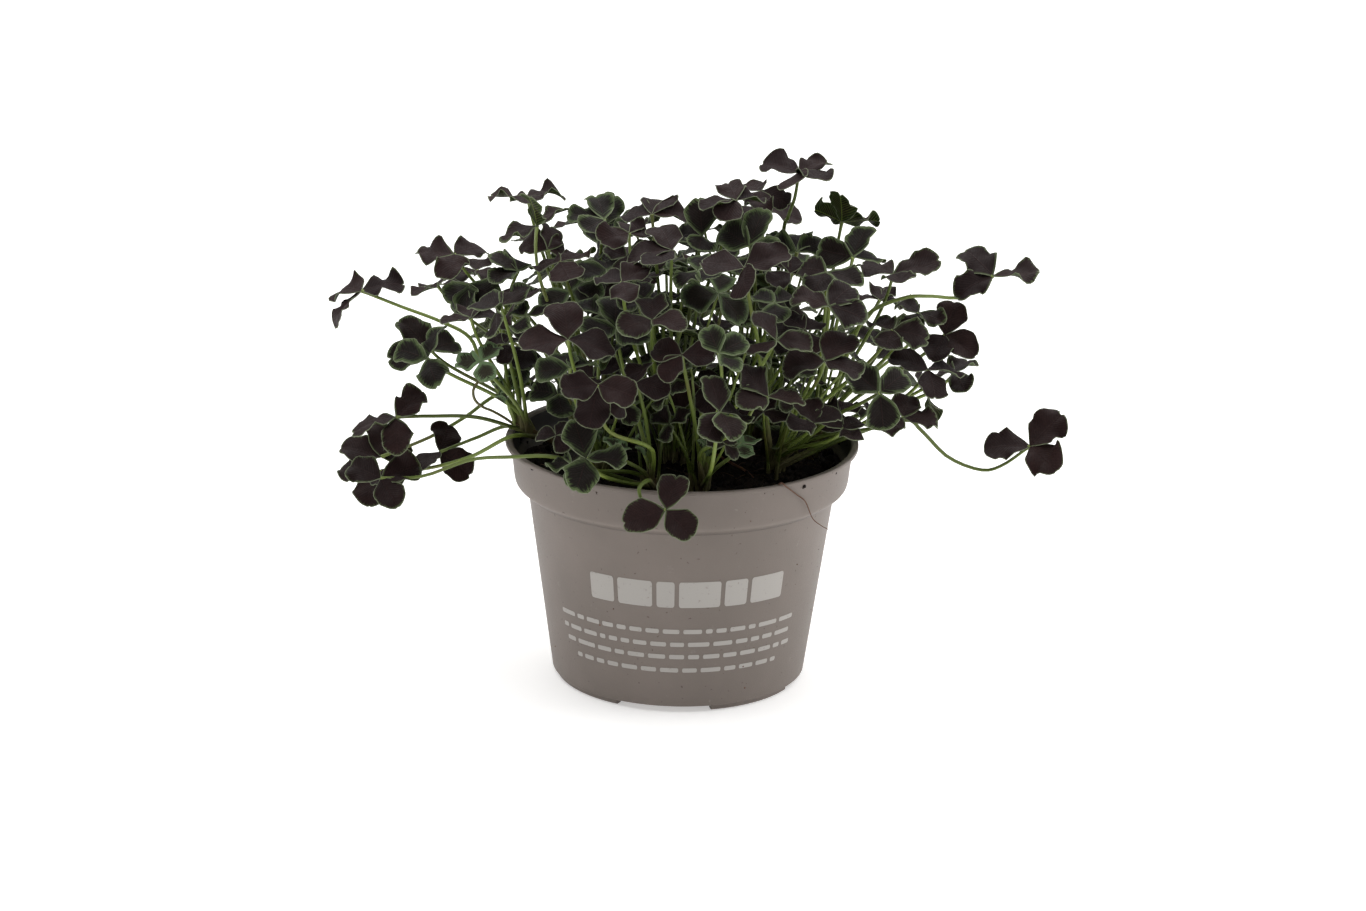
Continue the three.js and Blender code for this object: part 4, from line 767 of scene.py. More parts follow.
# Rows and columns of the fine leaflet
ALONG = np.array([0, 0.05, 0.12, 0.2, 0.28, 0.36, 0.44, 0.52, 0.6, 0.68, 0.76, 0.83, 0.89, 0.94,
                  0.975, 0.996])
ACROSS = np.linspace(-1, 1, 13)
GRID_ALONG, GRID_ACROSS = np.meshgrid(ALONG, ACROSS, indexing="ij")
RIM_SAMPLES = 70


def rim_quads():
    rows, columns = GRID_ALONG.shape
    size = rows * columns
    edge = list(range(columns))
    edge += range(2 * columns - 1, size, columns)
    edge += range(size - 2, size - columns - 1, -1)
    edge += range(size - 2 * columns, 0, -columns)
    return [(b, a, a + size, b + size) for a, b in zip(edge, edge[1:] + edge[:1])]


# A leaflet's shell: the upper sheet, its edge and the under sheet, with a material for each
SHEET_QUADS = np.array(grid_quads(*GRID_ALONG.shape))
RIM_QUADS = np.array(rim_quads())
SHELL_QUADS = np.concatenate([SHEET_QUADS, RIM_QUADS, SHEET_QUADS[:, ::-1] + GRID_ALONG.size])
SHELL_SLOTS = np.repeat([BLADE, UNDERSIDE], [len(SHEET_QUADS), len(RIM_QUADS) + len(SHEET_QUADS)])


def add_shell(batch, middle, normals, thickness, place, slots, kind):
    offset = normals * thickness / 2
    sheets = [(middle + offset).reshape(-1, 3), (middle - offset).reshape(-1, 3)]
    place = np.stack(place, axis=-1).reshape(-1, 3)
    batch.add(np.concatenate(sheets), SHELL_QUADS, slots, np.concatenate([place, place]), kind)


# How far each point of a flat sheet is from the sheet's rim
def edge_distance(x, y):
    fine, rows = np.linspace(0, len(ALONG) - 1, RIM_SAMPLES), np.arange(len(ALONG))
    sides = [[np.interp(fine, rows, values[:, k]) for values in (x, y)] for k in (0, -1)]
    rim = np.concatenate([*(np.transpose(side) for side in sides), np.stack([x[-1], y[-1]], axis=1)])
    gaps = np.stack([x, y], axis=-1)[:, :, None, :] - rim
    return np.sqrt((gaps * gaps).sum(axis=-1).min(axis=-1))


# A leaflet's blade as the eye sees it close up: a blunter tip, uneven wavy sides that differ
# from each other, a ruffled margin and corners that curl
def fine_blade(piece, shape, curl):
    along, across = GRID_ALONG, GRID_ACROSS
    far = np.abs(across)
    left = across < 0
    end = np.clip((along - WIDEST) / (1 - WIDEST), 0, 1)
    blunt = 2.0 + 1.5 * shape[0]
    round_base = np.sin(0.5 * math.pi * np.clip(along / WIDEST, 0, 1)) ** 0.86
    profile = np.where(along < WIDEST, round_base, np.sqrt(np.maximum(0, 1 - end ** blunt)))
    half = np.maximum(profile * piece.width * 0.48, 0.36)
    reach = far * profile
    window = np.clip((along - 0.15) / 0.35, 0, 1)
    sway = wave(along, across, 1.05, np.where(left, shape[1], shape[2]), 0)
    quick = wave(along, across, 2.7, np.where(left, shape[3], shape[4]), 0)
    half = half * (1 + (0.085 * sway + 0.045 * quick) * far * window)
    notch = 0.09 * max(0, shape[5] - 0.45) * np.exp(-(across / 0.25) ** 2) * end
    x = (along - notch + 0.05 * shape[6] * far ** 2 * end) * piece.length
    ruffle = (0.05 + 0.08 * shape[7]) * reach ** 2 * wave(along, across, 1.7, shape[8], 1.4)
    ruffle = ruffle + 0.03 * reach ** 3 * wave(along, across, 3.9, shape[9], 2)
    corners = 0.35 * np.where(left, shape[10] - 0.5, shape[11] - 0.5) * end * reach ** 1.5
    hook = 0.3 * max(0, shape[12] - 0.5) * np.clip((along - 0.75) / 0.25, 0, 1) ** 2
    lift = relief(piece, along, across) + (ruffle * window + corners - hook) * curl * piece.length
    return x, across * half, lift


def add_leaflet(batch, hub, piece, kind, curl, rng):
    x, y, lift = fine_blade(piece, rng.random(13), curl)
    middle = laid(hub, piece.axes, x, y, lift)
    normals = np.cross(np.gradient(middle, axis=0), np.gradient(middle, axis=1))
    normals = normals / np.maximum(np.linalg.norm(normals, axis=2, keepdims=True), 1e-9)
    normals = normals * np.where((normals @ piece.face) < 0, -1, 1)[..., None]
    normals[0] = piece.face
    place = (x, y, edge_distance(x, y))
    add_shell(batch, middle, normals, BLADE_THICKNESS, place, SHELL_SLOTS, kind)


# Two directions square to a path at each of its points, turned as little as can be along it
def ring_frames(path):
    ahead = np.gradient(path, axis=0)
    ahead = ahead / np.linalg.norm(ahead, axis=1, keepdims=True)
    spokes = [across_from(vec(0.3, 0.9, 0.1), ahead[0])]
    for direction in ahead:
        spokes.append(across_from(spokes[-1], direction))
    spokes = np.array(spokes[1:])
    return spokes, np.cross(ahead, spokes)


def add_tube(batch, path, radii, slot, kind, sides=8, flat=1.0):
    angles = TURN * np.arange(sides) / sides
    rings = []
    for centre, radius, spoke, other in zip(path, radii, *ring_frames(path)):
        ring = np.outer(np.cos(angles), spoke) + flat * np.outer(np.sin(angles), other)
        rings.append(centre + radius * ring)
    share = np.linspace(0, 1, len(path))
    run = np.cumsum([0, *np.linalg.norm(np.diff(path, axis=0), axis=1)])
    place = [np.repeat(share, sides), np.tile(angles, len(path)), np.repeat(run, sides)]
    place = np.concatenate([np.stack(place, axis=1), [(0, 0, 0), (1, 0, run[-1])]])
    points = np.concatenate(rings + [path[:1], path[-1:]])
    batch.add(points, tube_quads(len(path), sides), slot, place, kind)


def add_leaf(batch, leaf, rng):
    green = GREEN_MARGINS.get(leaf.name, 0.05 + 0.3 * rng.random() ** 2)
    young = YOUNG_LEAVES.get(leaf.name, 0)
    shaded_tone, slim = 1, 1
    # Low leaves are slimmer, and their tone is cut to paint shade on them deep in the bunch
    if leaf.name.startswith("low"):
        shaded_tone, slim = LOW_SHADED_TONE, LOW_SLIMNESS
        green, young = 0.1 + 0.6 * rng.random(), 0.3 * rng.random() ** 3
    curl = 1.2 if leaf.name in CURLED_LEAVES else 0.6
    for piece in leaf.pieces:
        kind = (shaded_tone * rng.random(), green * (0.85 + 0.3 * rng.random()), young)
        add_leaflet(batch, leaf.hub, piece, kind, curl, rng)
    # The stalk swells where it meets the leaflets
    share = np.linspace(0, 1, STALK_STEPS)
    radii = (STALK_FOOT + (STALK_TOP - STALK_FOOT) * share) * slim
    radii = radii + 0.14 * np.exp(-((share - 1) / 0.015) ** 2)
    add_tube(batch, leaf.curve(share), radii, STALK, (rng.random(), green, young))
    covered = SHEATH_LENGTH / np.linalg.norm(leaf.hub - leaf.root)
    sheath = leaf.curve(np.linspace(0, covered, len(SHEATH_RADII)))
    add_tube(batch, sheath, SHEATH_RADII * slim, WRAPPING, (rng.random(), 0, 0), flat=0.85)


# A small leaf low in the bunch, tried in several places round its runner
def low_leaf(key, index, tallest, rng):
    start = vec(*RUNNERS[key][0], PEAT_LEVEL)
    outward = polar(1, TURN * GOLDEN * index + rng.random())
    spread, height = 5 + 24 * rng.random(), LOWEST + (tallest - LOWEST) * rng.random()
    normal = unit(UP + outward * (0.3 + 0.6 * rng.random()) + 0.3 * (rng.random(3) - 0.5))
    first = rotated(unit(np.cross(outward, normal)), normal, TURN * rng.random())
    size = 4.8 + 4 * rng.random() + 0.045 * height
    pieces = []
    for i in range(3):
        rib = rotated(first, normal, i * SPREAD_ANGLE + 0.4 * (rng.random() - 0.5))
        rib = unit(rib + normal * (0.5 * rng.random() - 0.2))
        pieces.append(Leaflet(rib * size * (0.9 + 0.2 * rng.random()), normal))
    hub = start + outward * spread + height * UP
    leaf = Leaf(f"low_{index}", key, normal, pieces, lambda shift: hub)
    leaf.root = start + outward * (1.5 + 3.5 * rng.random()) - 0.4 * UP
    return leaf


def grow_low_leaves(placed):
    grown = []
    for number, (key, (count, tallest)) in enumerate(LOW_LEAVES.items()):
        rng = np.random.default_rng(LOW_SEED + number)
        for _ in range(count):
            for attempt in range(LOW_TRIES):
                leaf = low_leaf(key, len(grown) + attempt, tallest, rng)
                trial = try_place(leaf, 0, 0)
                if freedom(trial, placed, LOW_MARGIN) > LOW_MARGIN:
                    leaf.curve = trial.curve
                    placed.append(trial)
                    grown.append(leaf)
                    break
    return grown


# A small unfolding leaf at a runner's tip: three leaflets folded along their midribs
def add_bud_leaf(batch, key, rng):
    tip, lean = TIPS[key], polar(1, TURN * rng.random())
    height = 5 + 8 * rng.random()
    hub = tip + height * UP + lean * height * 0.35
    path = bezier(tip - UP, tip + 0.4 * height * UP, hub - 0.3 * height * UP, hub)
    add_tube(batch, path(np.linspace(0, 1, 9)), np.linspace(0.7, 0.45, 9), STALK, (0.9, 0.5, 1))
    upward = unit(UP + 0.5 * lean)
    first = across_from(lean, upward)
    for i in range(3):
        out = rotated(first, upward, i * SPREAD_ANGLE + rng.random() * 0.4)
        rib = unit(upward * 0.9 + out * (0.25 + 0.4 * rng.random())) * (4.2 + 2.2 * rng.random())
        fold_leaflet(batch, hub, rib, out, rng)


def fold_leaflet(batch, hub, rib, out, rng):
    length = np.linalg.norm(rib)
    axis = rib / length
    face = across_from(-out, axis)
    side = np.cross(face, axis)
    along, across = GRID_ALONG, GRID_ACROSS
    half = np.maximum(outline(along) * length * 0.36, 0.2)
    opening = math.radians(18 + 30 * rng.random())
    sin, cos = math.sin(opening), math.cos(opening)
    lift = np.abs(across) * half * cos + 0.08 * length * along * along
    middle = laid(hub, (axis, side, face), along * length, across * half * sin, lift)
    inward = face * sin - np.sign(across)[..., None] * side * cos
    place = (along * length, across * half, (1 - np.abs(across)) * half)
    add_shell(batch, middle, inward, BUD_THICKNESS, place, UNDERSIDE, (rng.random(), 0.7, 1))


def add_runner(batch, key, rng):
    below = vec(*RUNNERS[key][0], HOLE_FLOOR + 6)
    share = np.linspace(0, 1, RUNNER_STEPS)
    path = curve_through([below, BENDS[key], TIPS[key]])(share)
    radii = RUNNER_RADIUS + (RUNNER_TIP - RUNNER_RADIUS) * np.clip(share * 2 - 1, 0, 1)
    radii = radii * (RUNNER_SLIMNESS + RUNNER_KNOTS * np.sin(share * 40 + 6 * rng.random()))
    radii[-1] *= 0.45
    add_tube(batch, path, radii, WRAPPING, (rng.random(), 1, 0), sides=12)


def make_clover(materials):
    leaves = [seen_leaf(row) for row in LEAVES]
    leaves += [back_leaf(i) for i in range(BACK_LEAVES)]
    give_roots(leaves)
    leaves += grow_low_leaves(settle(leaves))
    for index, key in enumerate(RUNNERS):
        rng = np.random.default_rng(BUNCH_SEED + index)
        batch = Batch()
        add_runner(batch, key, rng)
        for leaf in leaves:
            if leaf.runner == key:
                add_leaf(batch, leaf, rng)
        for _ in range(BUDS_PER_RUNNER):
            add_bud_leaf(batch, key, rng)
        if key == "west":
            stem = curve_through(DEAD_STEM)(np.linspace(0, 1, DEAD_STEM_STEPS))
            radii = np.full(DEAD_STEM_STEPS, DEAD_STEM_RADIUS)
            add_tube(batch, stem, radii, WRAPPING, (1, 0, 0))
        bunch = finish_piece(batch.object(f"leafy_{key}", materials))
        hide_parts(f"clover_{key}")


# A value in a node tree, which takes part in sums as a plain number does
class Term:
    def __init__(self, nodes, socket):
        self.nodes, self.socket = nodes, socket

    def __add__(self, other):
        return self.nodes.math("ADD", self, other)

    def __sub__(self, other):
        return self.nodes.math("SUBTRACT", self, other)

    def __mul__(self, other):
        return self.nodes.math("MULTIPLY", self, other)

    def __truediv__(self, other):
        return self.nodes.math("DIVIDE", self, other)

    def __pow__(self, other):
        return self.nodes.math("POWER", self, other)


class Nodes:
    def __init__(self, name):
        self.material = bpy.data.materials.new(name)
        self.material.use_nodes = True
        self.tree = self.material.node_tree
        self.shader = self.tree.nodes["Principled BSDF"]

    def term(self, kind, inputs=None, output=0, **settings):
        node = self.tree.nodes.new(kind)
        for key, value in settings.items():
            setattr(node, key, value)
        for key, value in (inputs or {}).items():
            self.set(node.inputs[key], value)
        return Term(self, node.outputs[output])

    def set(self, socket, value):
        if isinstance(value, Term):
            self.tree.links.new(value.socket, socket)
        elif isinstance(value, tuple) and len(value) == 3 and socket.type == "RGBA":
            socket.default_value = (*value, 1)
        else:
            socket.default_value = value

    def math(self, operation, a, b=0.0):
        return self.term("ShaderNodeMath", {0: a, 1: b}, operation=operation)

    def smooth(self, value, low, high, to_low=0.0, to_high=1.0):
        inputs = {"Value": value, "From Min": low, "From Max": high, "To Min": to_low, "To Max": to_high}
        return self.term("ShaderNodeMapRange", inputs, interpolation_type="SMOOTHSTEP")

    def mix(self, factor, first, second):
        return self.term("ShaderNodeMix", {0: factor, 6: first, 7: second}, 2, data_type="RGBA")

    def vector(self, x, y, z=0.0):
        return self.term("ShaderNodeCombineXYZ", {0: x, 1: y, 2: z})

    def split(self, vector):
        parts = self.term("ShaderNodeSeparateXYZ", {0: vector}).socket.node.outputs
        return [Term(self, part) for part in parts]

    def attribute(self, label):
        return self.split(self.term("ShaderNodeAttribute", None, "Vector", attribute_name=label))

    def where(self):
        return self.term("ShaderNodeTexCoord", None, "Object")

    def noise(self, scale, detail=3.0, vector=None, rough=0.55):
        inputs = {"Vector": vector or self.where(), "Scale": scale, "Detail": detail, "Roughness": rough}
        return self.term("ShaderNodeTexNoise", inputs, "Fac")

    def bump(self, height, strength, distance):
        inputs = {"Height": height, "Strength": strength, "Distance": distance}
        return self.term("ShaderNodeBump", inputs)

    def finish(self, color, roughness, normal=None, specular=0.5):
        self.set(self.shader.inputs["Base Color"], color)
        self.set(self.shader.inputs["Roughness"], roughness)
        self.shader.inputs["Specular IOR Level"].default_value = specular
        if normal is not None:
            self.set(self.shader.inputs["Normal"], normal)
        return self.material


def linear(red, green, blue):
    def channel(value):
        share = value / 255
        return share / 12.92 if share <= 0.04045 else ((share + 0.055) / 1.055) ** 2.4

    return channel(red), channel(green), channel(blue)


BURGUNDY = linear(27, 15, 15)
BURGUNDY_LIGHT = linear(50, 31, 29)
BURGUNDY_GREEN = linear(18, 16, 11)
SAGE = linear(88, 102, 66)
SAGE_DARK = linear(46, 56, 32)
MARGIN_LINE = linear(130, 136, 112)
UNDER_GREEN = linear(34, 46, 18)
UNDER_RED = linear(38, 23, 16)
YOUNG_GREEN = linear(112, 136, 96)
YOUNG_HEART = linear(40, 24, 22)
STALK_GREEN = linear(120, 138, 62)
STALK_OLIVE = linear(84, 98, 40)
STALK_PALE = linear(148, 164, 96)
STALK_RED = linear(98, 66, 44)
SHEATH = linear(136, 128, 88)
RUNNER_BROWN = linear(72, 74, 38)
PEAT_DARK = linear(27, 23, 20)
PEAT_BROWN = linear(54, 42, 33)
FIBRE = linear(88, 68, 48)
ROOT_DARK = linear(74, 52, 40)
ROOT_RED = linear(128, 84, 66)
ROOT_GREY = linear(104, 92, 78)
TAUPE = linear(121, 111, 104)
TAUPE_DARK = linear(112, 103, 96)
PRINT = linear(168, 164, 159)
PAPER = linear(247, 246, 245)
PAPER_SHADE = linear(242, 241, 240)


def blade_material(under):
    n = Nodes("clover_blade_under" if under else "clover_blade")
    x, y, edge = n.attribute("place")
    tone, green, young = n.attribute("kind")
    away = n.math("ABSOLUTE", y)
    soft, coarse = n.noise(900, 3), n.noise(260, 2)
    # Veins run outwards at a slant from the midrib, each along a line of equal course
    course = x - away * 0.85 + coarse * 1.1
    vein = n.smooth(n.math("SINE", course * (TURN / VEIN_SPACING)), 0.35, 1.0)
    rib = n.smooth(away, 0.28, 0.08)
    streak = n.noise(2.4, 2, n.vector(course, edge * 0.22, tone))
    # The green margin is feathered by streaks that run along the veins
    width = green ** 1.3 * 2.1 + 0.25
    margin = n.smooth((edge + (streak - 0.5) * (width * 4.2)) / width, 1.25, 0.3)
    if under:
        blush = n.mix(coarse, UNDER_RED, UNDER_GREEN)
        base = n.mix(n.smooth(edge, 0.5, 2.6), UNDER_GREEN, blush)
        base = n.mix(vein * 0.3, base, STALK_GREEN)
        base = n.mix(rib * 0.6, base, STALK_GREEN)
    else:
        base = n.mix(tone * (coarse * 0.9), BURGUNDY, BURGUNDY_LIGHT)
        base = n.mix(n.smooth(green, 0.2, 0.7, 0.0, 0.85), base, BURGUNDY_GREEN)
        base = n.mix(vein * 0.16, base, BURGUNDY_LIGHT)
        base = n.mix(rib * 0.3, base, BURGUNDY_LIGHT)
    sage = n.mix(n.smooth(edge + soft, 2.1, 0.9), SAGE_DARK, SAGE)
    color = n.mix(margin * n.smooth(green, 0.05, 0.6, 0.35, 0.95), base, sage)
    # Young leaves are pale green round a dark heart
    heart = n.smooth((streak - 0.5) * 5.0 - edge, -0.8, -1.7)
    fresh = n.mix(heart * 0.9, YOUNG_GREEN, YOUNG_HEART)
    color = n.mix(n.smooth(young, 0.0, 0.8), color, fresh)
    color = n.mix(n.smooth(edge, 0.3, 0.12) * 0.65, color, MARGIN_LINE)
    height = soft * 0.4 - vein * 0.7 - rib * 1.2
    normal = n.bump(height, 0.5, -0.0003 if under else 0.0002)
    return n.finish(color, n.smooth(soft, 0.2, 0.8, 0.55, 0.75), normal, 0.14)


def stalk_material():
    n = Nodes("clover_stalk")
    share, turn, length = n.attribute("place")
    tone, _, young = n.attribute("kind")
    base = n.mix(n.smooth(tone, 0.15, 0.7), STALK_OLIVE, STALK_GREEN)
    base = n.mix(n.smooth(tone, 0.8, 1.0), base, STALK_PALE)
    base = n.mix(n.smooth(share, 0.9, 1.0) * 0.5, base, STALK_PALE)
    base = n.mix(n.smooth(n.noise(38, 2), 0.52, 0.72) * 0.45, base, STALK_RED)
    streak = n.noise(2.2, 2, n.vector(turn * 1.5, length * 0.15))
    color = n.mix(streak * 0.35, base, STALK_OLIVE)
    color = n.mix(young * 0.6, color, STALK_PALE)
    return n.finish(color, 0.45, n.bump(streak, 0.3, 0.0002), 0.35)


def sheath_material():
    n = Nodes("clover_sheath")
    share, turn, _ = n.attribute("place")
    tone, woody, _ = n.attribute("kind")
    ribs = n.math("SINE", turn * 7.0)
    blotch = n.noise(420, 3)
    dry = n.mix(blotch, SHEATH, RUNNER_BROWN)
    fresh = n.mix(n.smooth(share, 0.3, 1.0), dry, STALK_GREEN)
    wood = n.mix(n.noise(300, 3), RUNNER_BROWN, STALK_RED)
    color = n.mix(woody, n.mix(tone, fresh, dry), wood)
    return n.finish(color, 0.6, n.bump(ribs * 0.3 + blotch, 0.4, 0.0004))


def peat_material():
    n = Nodes("peat_crumb")
    fine, coarse = n.noise(1500, 4, rough=0.7), n.noise(180, 4)
    color = n.mix(n.smooth(fine * coarse, 0.2, 0.42), PEAT_DARK, PEAT_BROWN)
    return n.finish(color, 0.95, n.bump(fine + coarse * 2.0, 0.9, 0.0012), 0.2)


def fibre_material():
    n = Nodes("peat_fibre")
    color = n.mix(n.attribute("kind")[0], PEAT_BROWN, FIBRE)
    return n.finish(color, 0.85, n.bump(n.noise(1800, 2), 0.5, 0.0003), 0.3)


def root_material():
    n = Nodes("dry_root")
    color = n.mix(n.attribute("kind")[0], ROOT_DARK, ROOT_RED)
    color = n.mix(n.noise(900, 3) * 0.5, color, ROOT_GREY)
    return n.finish(color, 0.8, n.bump(n.noise(2500, 2), 0.5, 0.0002), 0.3)


def pot_material():
    n = Nodes("pot_plastic")
    grain, cloud = n.noise(2600, 2), n.noise(22, 4)
    scuff = n.smooth(n.noise(140, 5, rough=0.75), 0.62, 0.74)
    color = n.mix(n.smooth(cloud, 0.3, 0.7), TAUPE, TAUPE_DARK)
    color = n.mix(scuff * 0.22, color, PRINT)
    speck = n.smooth(n.noise(760, 1), 0.735, 0.765)
    color = n.mix(speck * 0.5, color, PEAT_BROWN)
    # The inside, whose surface faces the axis, is darkened to the peat's dark colour up to the lip: a
    # soil stain near the peat, and painted shade higher up under the lip
    facing = n.term("ShaderNodeNewGeometry", None, "Normal")
    inputs = {0: n.where(), 1: tuple(POT_CENTRE * METRES)}
    from_axis = n.term("ShaderNodeVectorMath", inputs, operation="SUBTRACT")
    inputs = {0: facing, 1: from_axis}
    outward = n.term("ShaderNodeVectorMath", inputs, "Value", operation="DOT_PRODUCT")
    smear = n.split(n.where())[2] + (n.noise(130, 4) - 0.5) * 0.009
    soil = n.smooth(smear, 0.0855, 0.0815) * n.smooth(outward, -0.01, -0.03)
    color = n.mix(soil * 0.92, color, PEAT_DARK)
    rough = n.smooth(grain, 0.2, 0.8, 0.5, 0.62) + scuff * 0.1
    return n.finish(color, rough, n.bump(grain + cloud * 0.6, 0.25, 0.00025), 0.4)


def print_material():
    n = Nodes("pot_print")
    worn = n.smooth(n.noise(700, 4, rough=0.7), 0.6, 0.72)
    color = n.mix(worn * 0.6, PRINT, TAUPE)
    return n.finish(color, 0.6, n.bump(n.noise(2600, 2), 0.2, 0.0002), 0.35)


def floor_material():
    n = Nodes("floor_paper")
    n.shader.inputs["Emission Color"].default_value = (1, 1, 1, 1)
    n.shader.inputs["Emission Strength"].default_value = FLOOR_GLOW
    return n.finish(n.mix(n.noise(3, 2), PAPER, PAPER_SHADE), 0.8, None, 0.2)


# The corners of a section, each rounded off to its own size
def filleted(corners, steps=5):
    spots = [np.array(corner[:2], float) for corner in corners]
    points = [spots[0]]
    for i in range(1, len(corners) - 1):
        corner, size = spots[i], corners[i][2]
        if size == 0:
            points.append(corner)
            continue
        before, after = spots[i - 1] - corner, spots[i + 1] - corner
        size = min(size, 0.45 * np.linalg.norm(before), 0.45 * np.linalg.norm(after))
        start, end = corner + unit(before) * size, corner + unit(after) * size
        for k in range(steps + 1):
            t = k / steps
            points.append((1 - t) ** 2 * start + 2 * t * (1 - t) * corner + t * t * end)
    return points + [spots[-1]]


def wall_radius(height):
    low = FOOT_HEIGHT + BASE_EDGE
    return BASE_RADIUS + (CREASE_RADIUS - BASE_RADIUS) * (height - low) / (CREASE_HEIGHT - low)


def inner_radius(height):
    if height < CREASE_HEIGHT:
        return wall_radius(height) - WALL
    share = (height - CREASE_HEIGHT) / (COLLAR_HEIGHT - COLLAR_EDGE)
    return CREASE_RADIUS - WALL + (COLLAR_RADIUS - CREASE_RADIUS) * share


def lathe(batch, profile, steps):
    angles = TURN * np.arange(steps) / steps
    rings = [ring_points(r, angles, z) for r, z in profile]
    ends = np.array([[0, 0, profile[0][1]], [0, 0, profile[-1][1]]])
    batch.add(np.concatenate(rings + [ends]), tube_quads(len(profile), steps), 0)


def drill(pot):
    batch = Batch()
    for i in range(DRAIN_COUNT):
        centre = polar(DRAIN_RING, TURN * (i + 0.5) / DRAIN_COUNT)
        path = np.array([centre, centre + DRILL_DEPTH * UP])
        add_tube(batch, path, [DRAIN_RADIUS, DRAIN_RADIUS], 0, (0, 0, 0), sides=24)
    tool = batch.object("drain_drill", [])
    cut = pot.modifiers.new("drains", "BOOLEAN")
    cut.operation = "DIFFERENCE"
    cut.solver = "EXACT"
    cut.object = tool
    cut_pot = pot.evaluated_get(bpy.context.evaluated_depsgraph_get())
    drilled = bpy.data.meshes.new_from_object(cut_pot)
    pot.modifiers.clear()
    pot.data = drilled
    bpy.data.objects.remove(tool)


def add_foot(batch, start):
    outer = BASE_RADIUS - BASE_EDGE - 0.2
    inner = outer - FOOT_WIDTH
    top = FLOOR_TOP - 0.1
    section = filleted([(inner, top, 0), (inner, 0, 0.6), (outer, 0, 0.9), (outer, top, 0)], 3)
    angles = start + math.radians(FOOT_ARC) * np.linspace(0, 1, 25)
    points = [polar(r, angle, z) for angle in angles for r, z in section]
    columns = len(section)
    quads = grid_quads(len(angles), columns, wrap=True)
    last = (len(angles) - 1) * columns
    for k in range(1, columns // 2):
        quads.append((k - 1, k, columns - 1 - k, columns - k))
        quads.append((last + columns - k, last + columns - 1 - k, last + k, last + k - 1))
    batch.add(np.array(points), quads, 0)


def make_pot(plastic):
    batch = Batch()
    lathe(batch, filleted(POT_PROFILE), POT_STEPS)
    pot = batch.object("nursery_pot", [plastic])
    drill(pot)
    finish_piece(pot)
    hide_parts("pot")
    feet = Batch()
    for i in range(FOOT_COUNT):
        add_foot(feet, math.radians(FOOT_START - 90 + i * 360 / FOOT_COUNT))
    finish_piece(feet.object("pot_feet", [plastic]))


# Plain rounded blocks in rows stand where a nursery prints its text
def make_print(ink):
    rng = np.random.default_rng(PRINT_SEED)
    batch = Batch()
    x = TITLE_FROM
    for width in TITLE_BLOCKS:
        add_block(batch, x, width, TITLE_HEIGHT, TITLE_SIZE, 0.9)
        x += width + TITLE_GAP
    for height, reach in TEXT_LINES:
        x = -reach
        while x < reach - 2:
            width = min(2.2 + 5.5 * rng.random(), reach - x)
            add_block(batch, x, width, height, TEXT_SIZE, 0.5)
            x += width + TEXT_GAP
    finish_piece(batch.object("pot_print", [ink]))


def add_block(batch, x, width, height, size, corner):
    end = np.linspace(0, corner, 5)
    columns = [end, np.linspace(corner, width - corner, 6)[1:-1], width - end[::-1]]
    columns = np.concatenate(columns)
    inset = np.maximum(0, corner - np.minimum(columns, width - columns))
    half = size / 2 - corner + np.sqrt(np.maximum(0, corner * corner - inset * inset))
    angle = (x + columns) / wall_radius(height)
    rows = []
    for level in np.linspace(-1, 1, 5):
        z = height + level * half
        radius = wall_radius(z) + PRINT_RISE
        rows.append(np.stack([radius * np.sin(angle), -radius * np.cos(angle), z], axis=1))
    batch.add(np.concatenate(rows), grid_quads(5, len(columns)), 0)


def peat_height(x, y):
    lumps = np.sin(0.31 * x + 0.7) * np.cos(0.27 * y - 0.4) + 0.6 * np.sin(0.17 * x - 0.23 * y)
    return PEAT_LEVEL + PEAT_LUMP * lumps - 0.0004 * (x * x + y * y)


def on_peat(reach, rng):
    spot = polar(reach * math.sqrt(rng.random()), TURN * rng.random())
    return spot + peat_height(spot[0], spot[1]) * UP


# Small lumps of the peat's surface
def clod(x, y):
    place = Vector((x, y, 3))
    value = 0.75 * noise.noise(place * 0.28) + 0.6 * noise.noise(place * 0.7)
    return value + 0.4 * noise.noise(place * 1.6) + 0.2 * abs(noise.noise(place * 3.1))


# A small ball of points and faces that crumbs are made from
def ball():
    rows, columns = 5, 7
    points = [(0, 0, 1)]
    for i in range(1, rows):
        angle = math.pi * i / rows
        for k in range(columns):
            turn = TURN * (k + 0.5 * i) / columns
            points.append(polar(math.sin(angle), turn, math.cos(angle)))
    points.append((0, 0, -1))
    quads = [quad[::-1] for quad in grid_quads(rows - 1, columns, start=1, wrap=True)]
    quads += fan_quads(range(1, columns + 1), 0)
    last = 1 + (rows - 2) * columns
    quads += fan_quads(range(last + columns - 1, last - 1, -1), last + columns)
    return np.array(points), np.array(quads)


BALL_POINTS, BALL_QUADS = ball()


def add_crumb(batch, centre, size, rng):
    stretch, offset = 0.7 + 0.6 * rng.random(3), 50 * rng.random(3)
    bumps = [1 + 0.5 * noise.noise(Vector(corner * 1.4 + offset)) for corner in BALL_POINTS]
    points = centre + BALL_POINTS * stretch * size * np.array(bumps)[:, None]
    batch.add(points, BALL_QUADS, 0, kind=(rng.random(), 0, 0))


def add_fibre(batch, start, length, rng):
    heading = TURN * rng.random()
    points = [start]
    for _ in range(4):
        heading += rng.random() - 0.5
        step = polar(1, heading, 0.5 * (rng.random() - 0.5)) * length / 4
        points.append(points[-1] + step)
    path = curve_through(points)(np.linspace(0, 1, 9))
    radius = 0.09 + 0.13 * rng.random()
    add_tube(batch, path, np.linspace(radius, radius * 0.5, 9), 1, (rng.random(), 0, 0), sides=5)


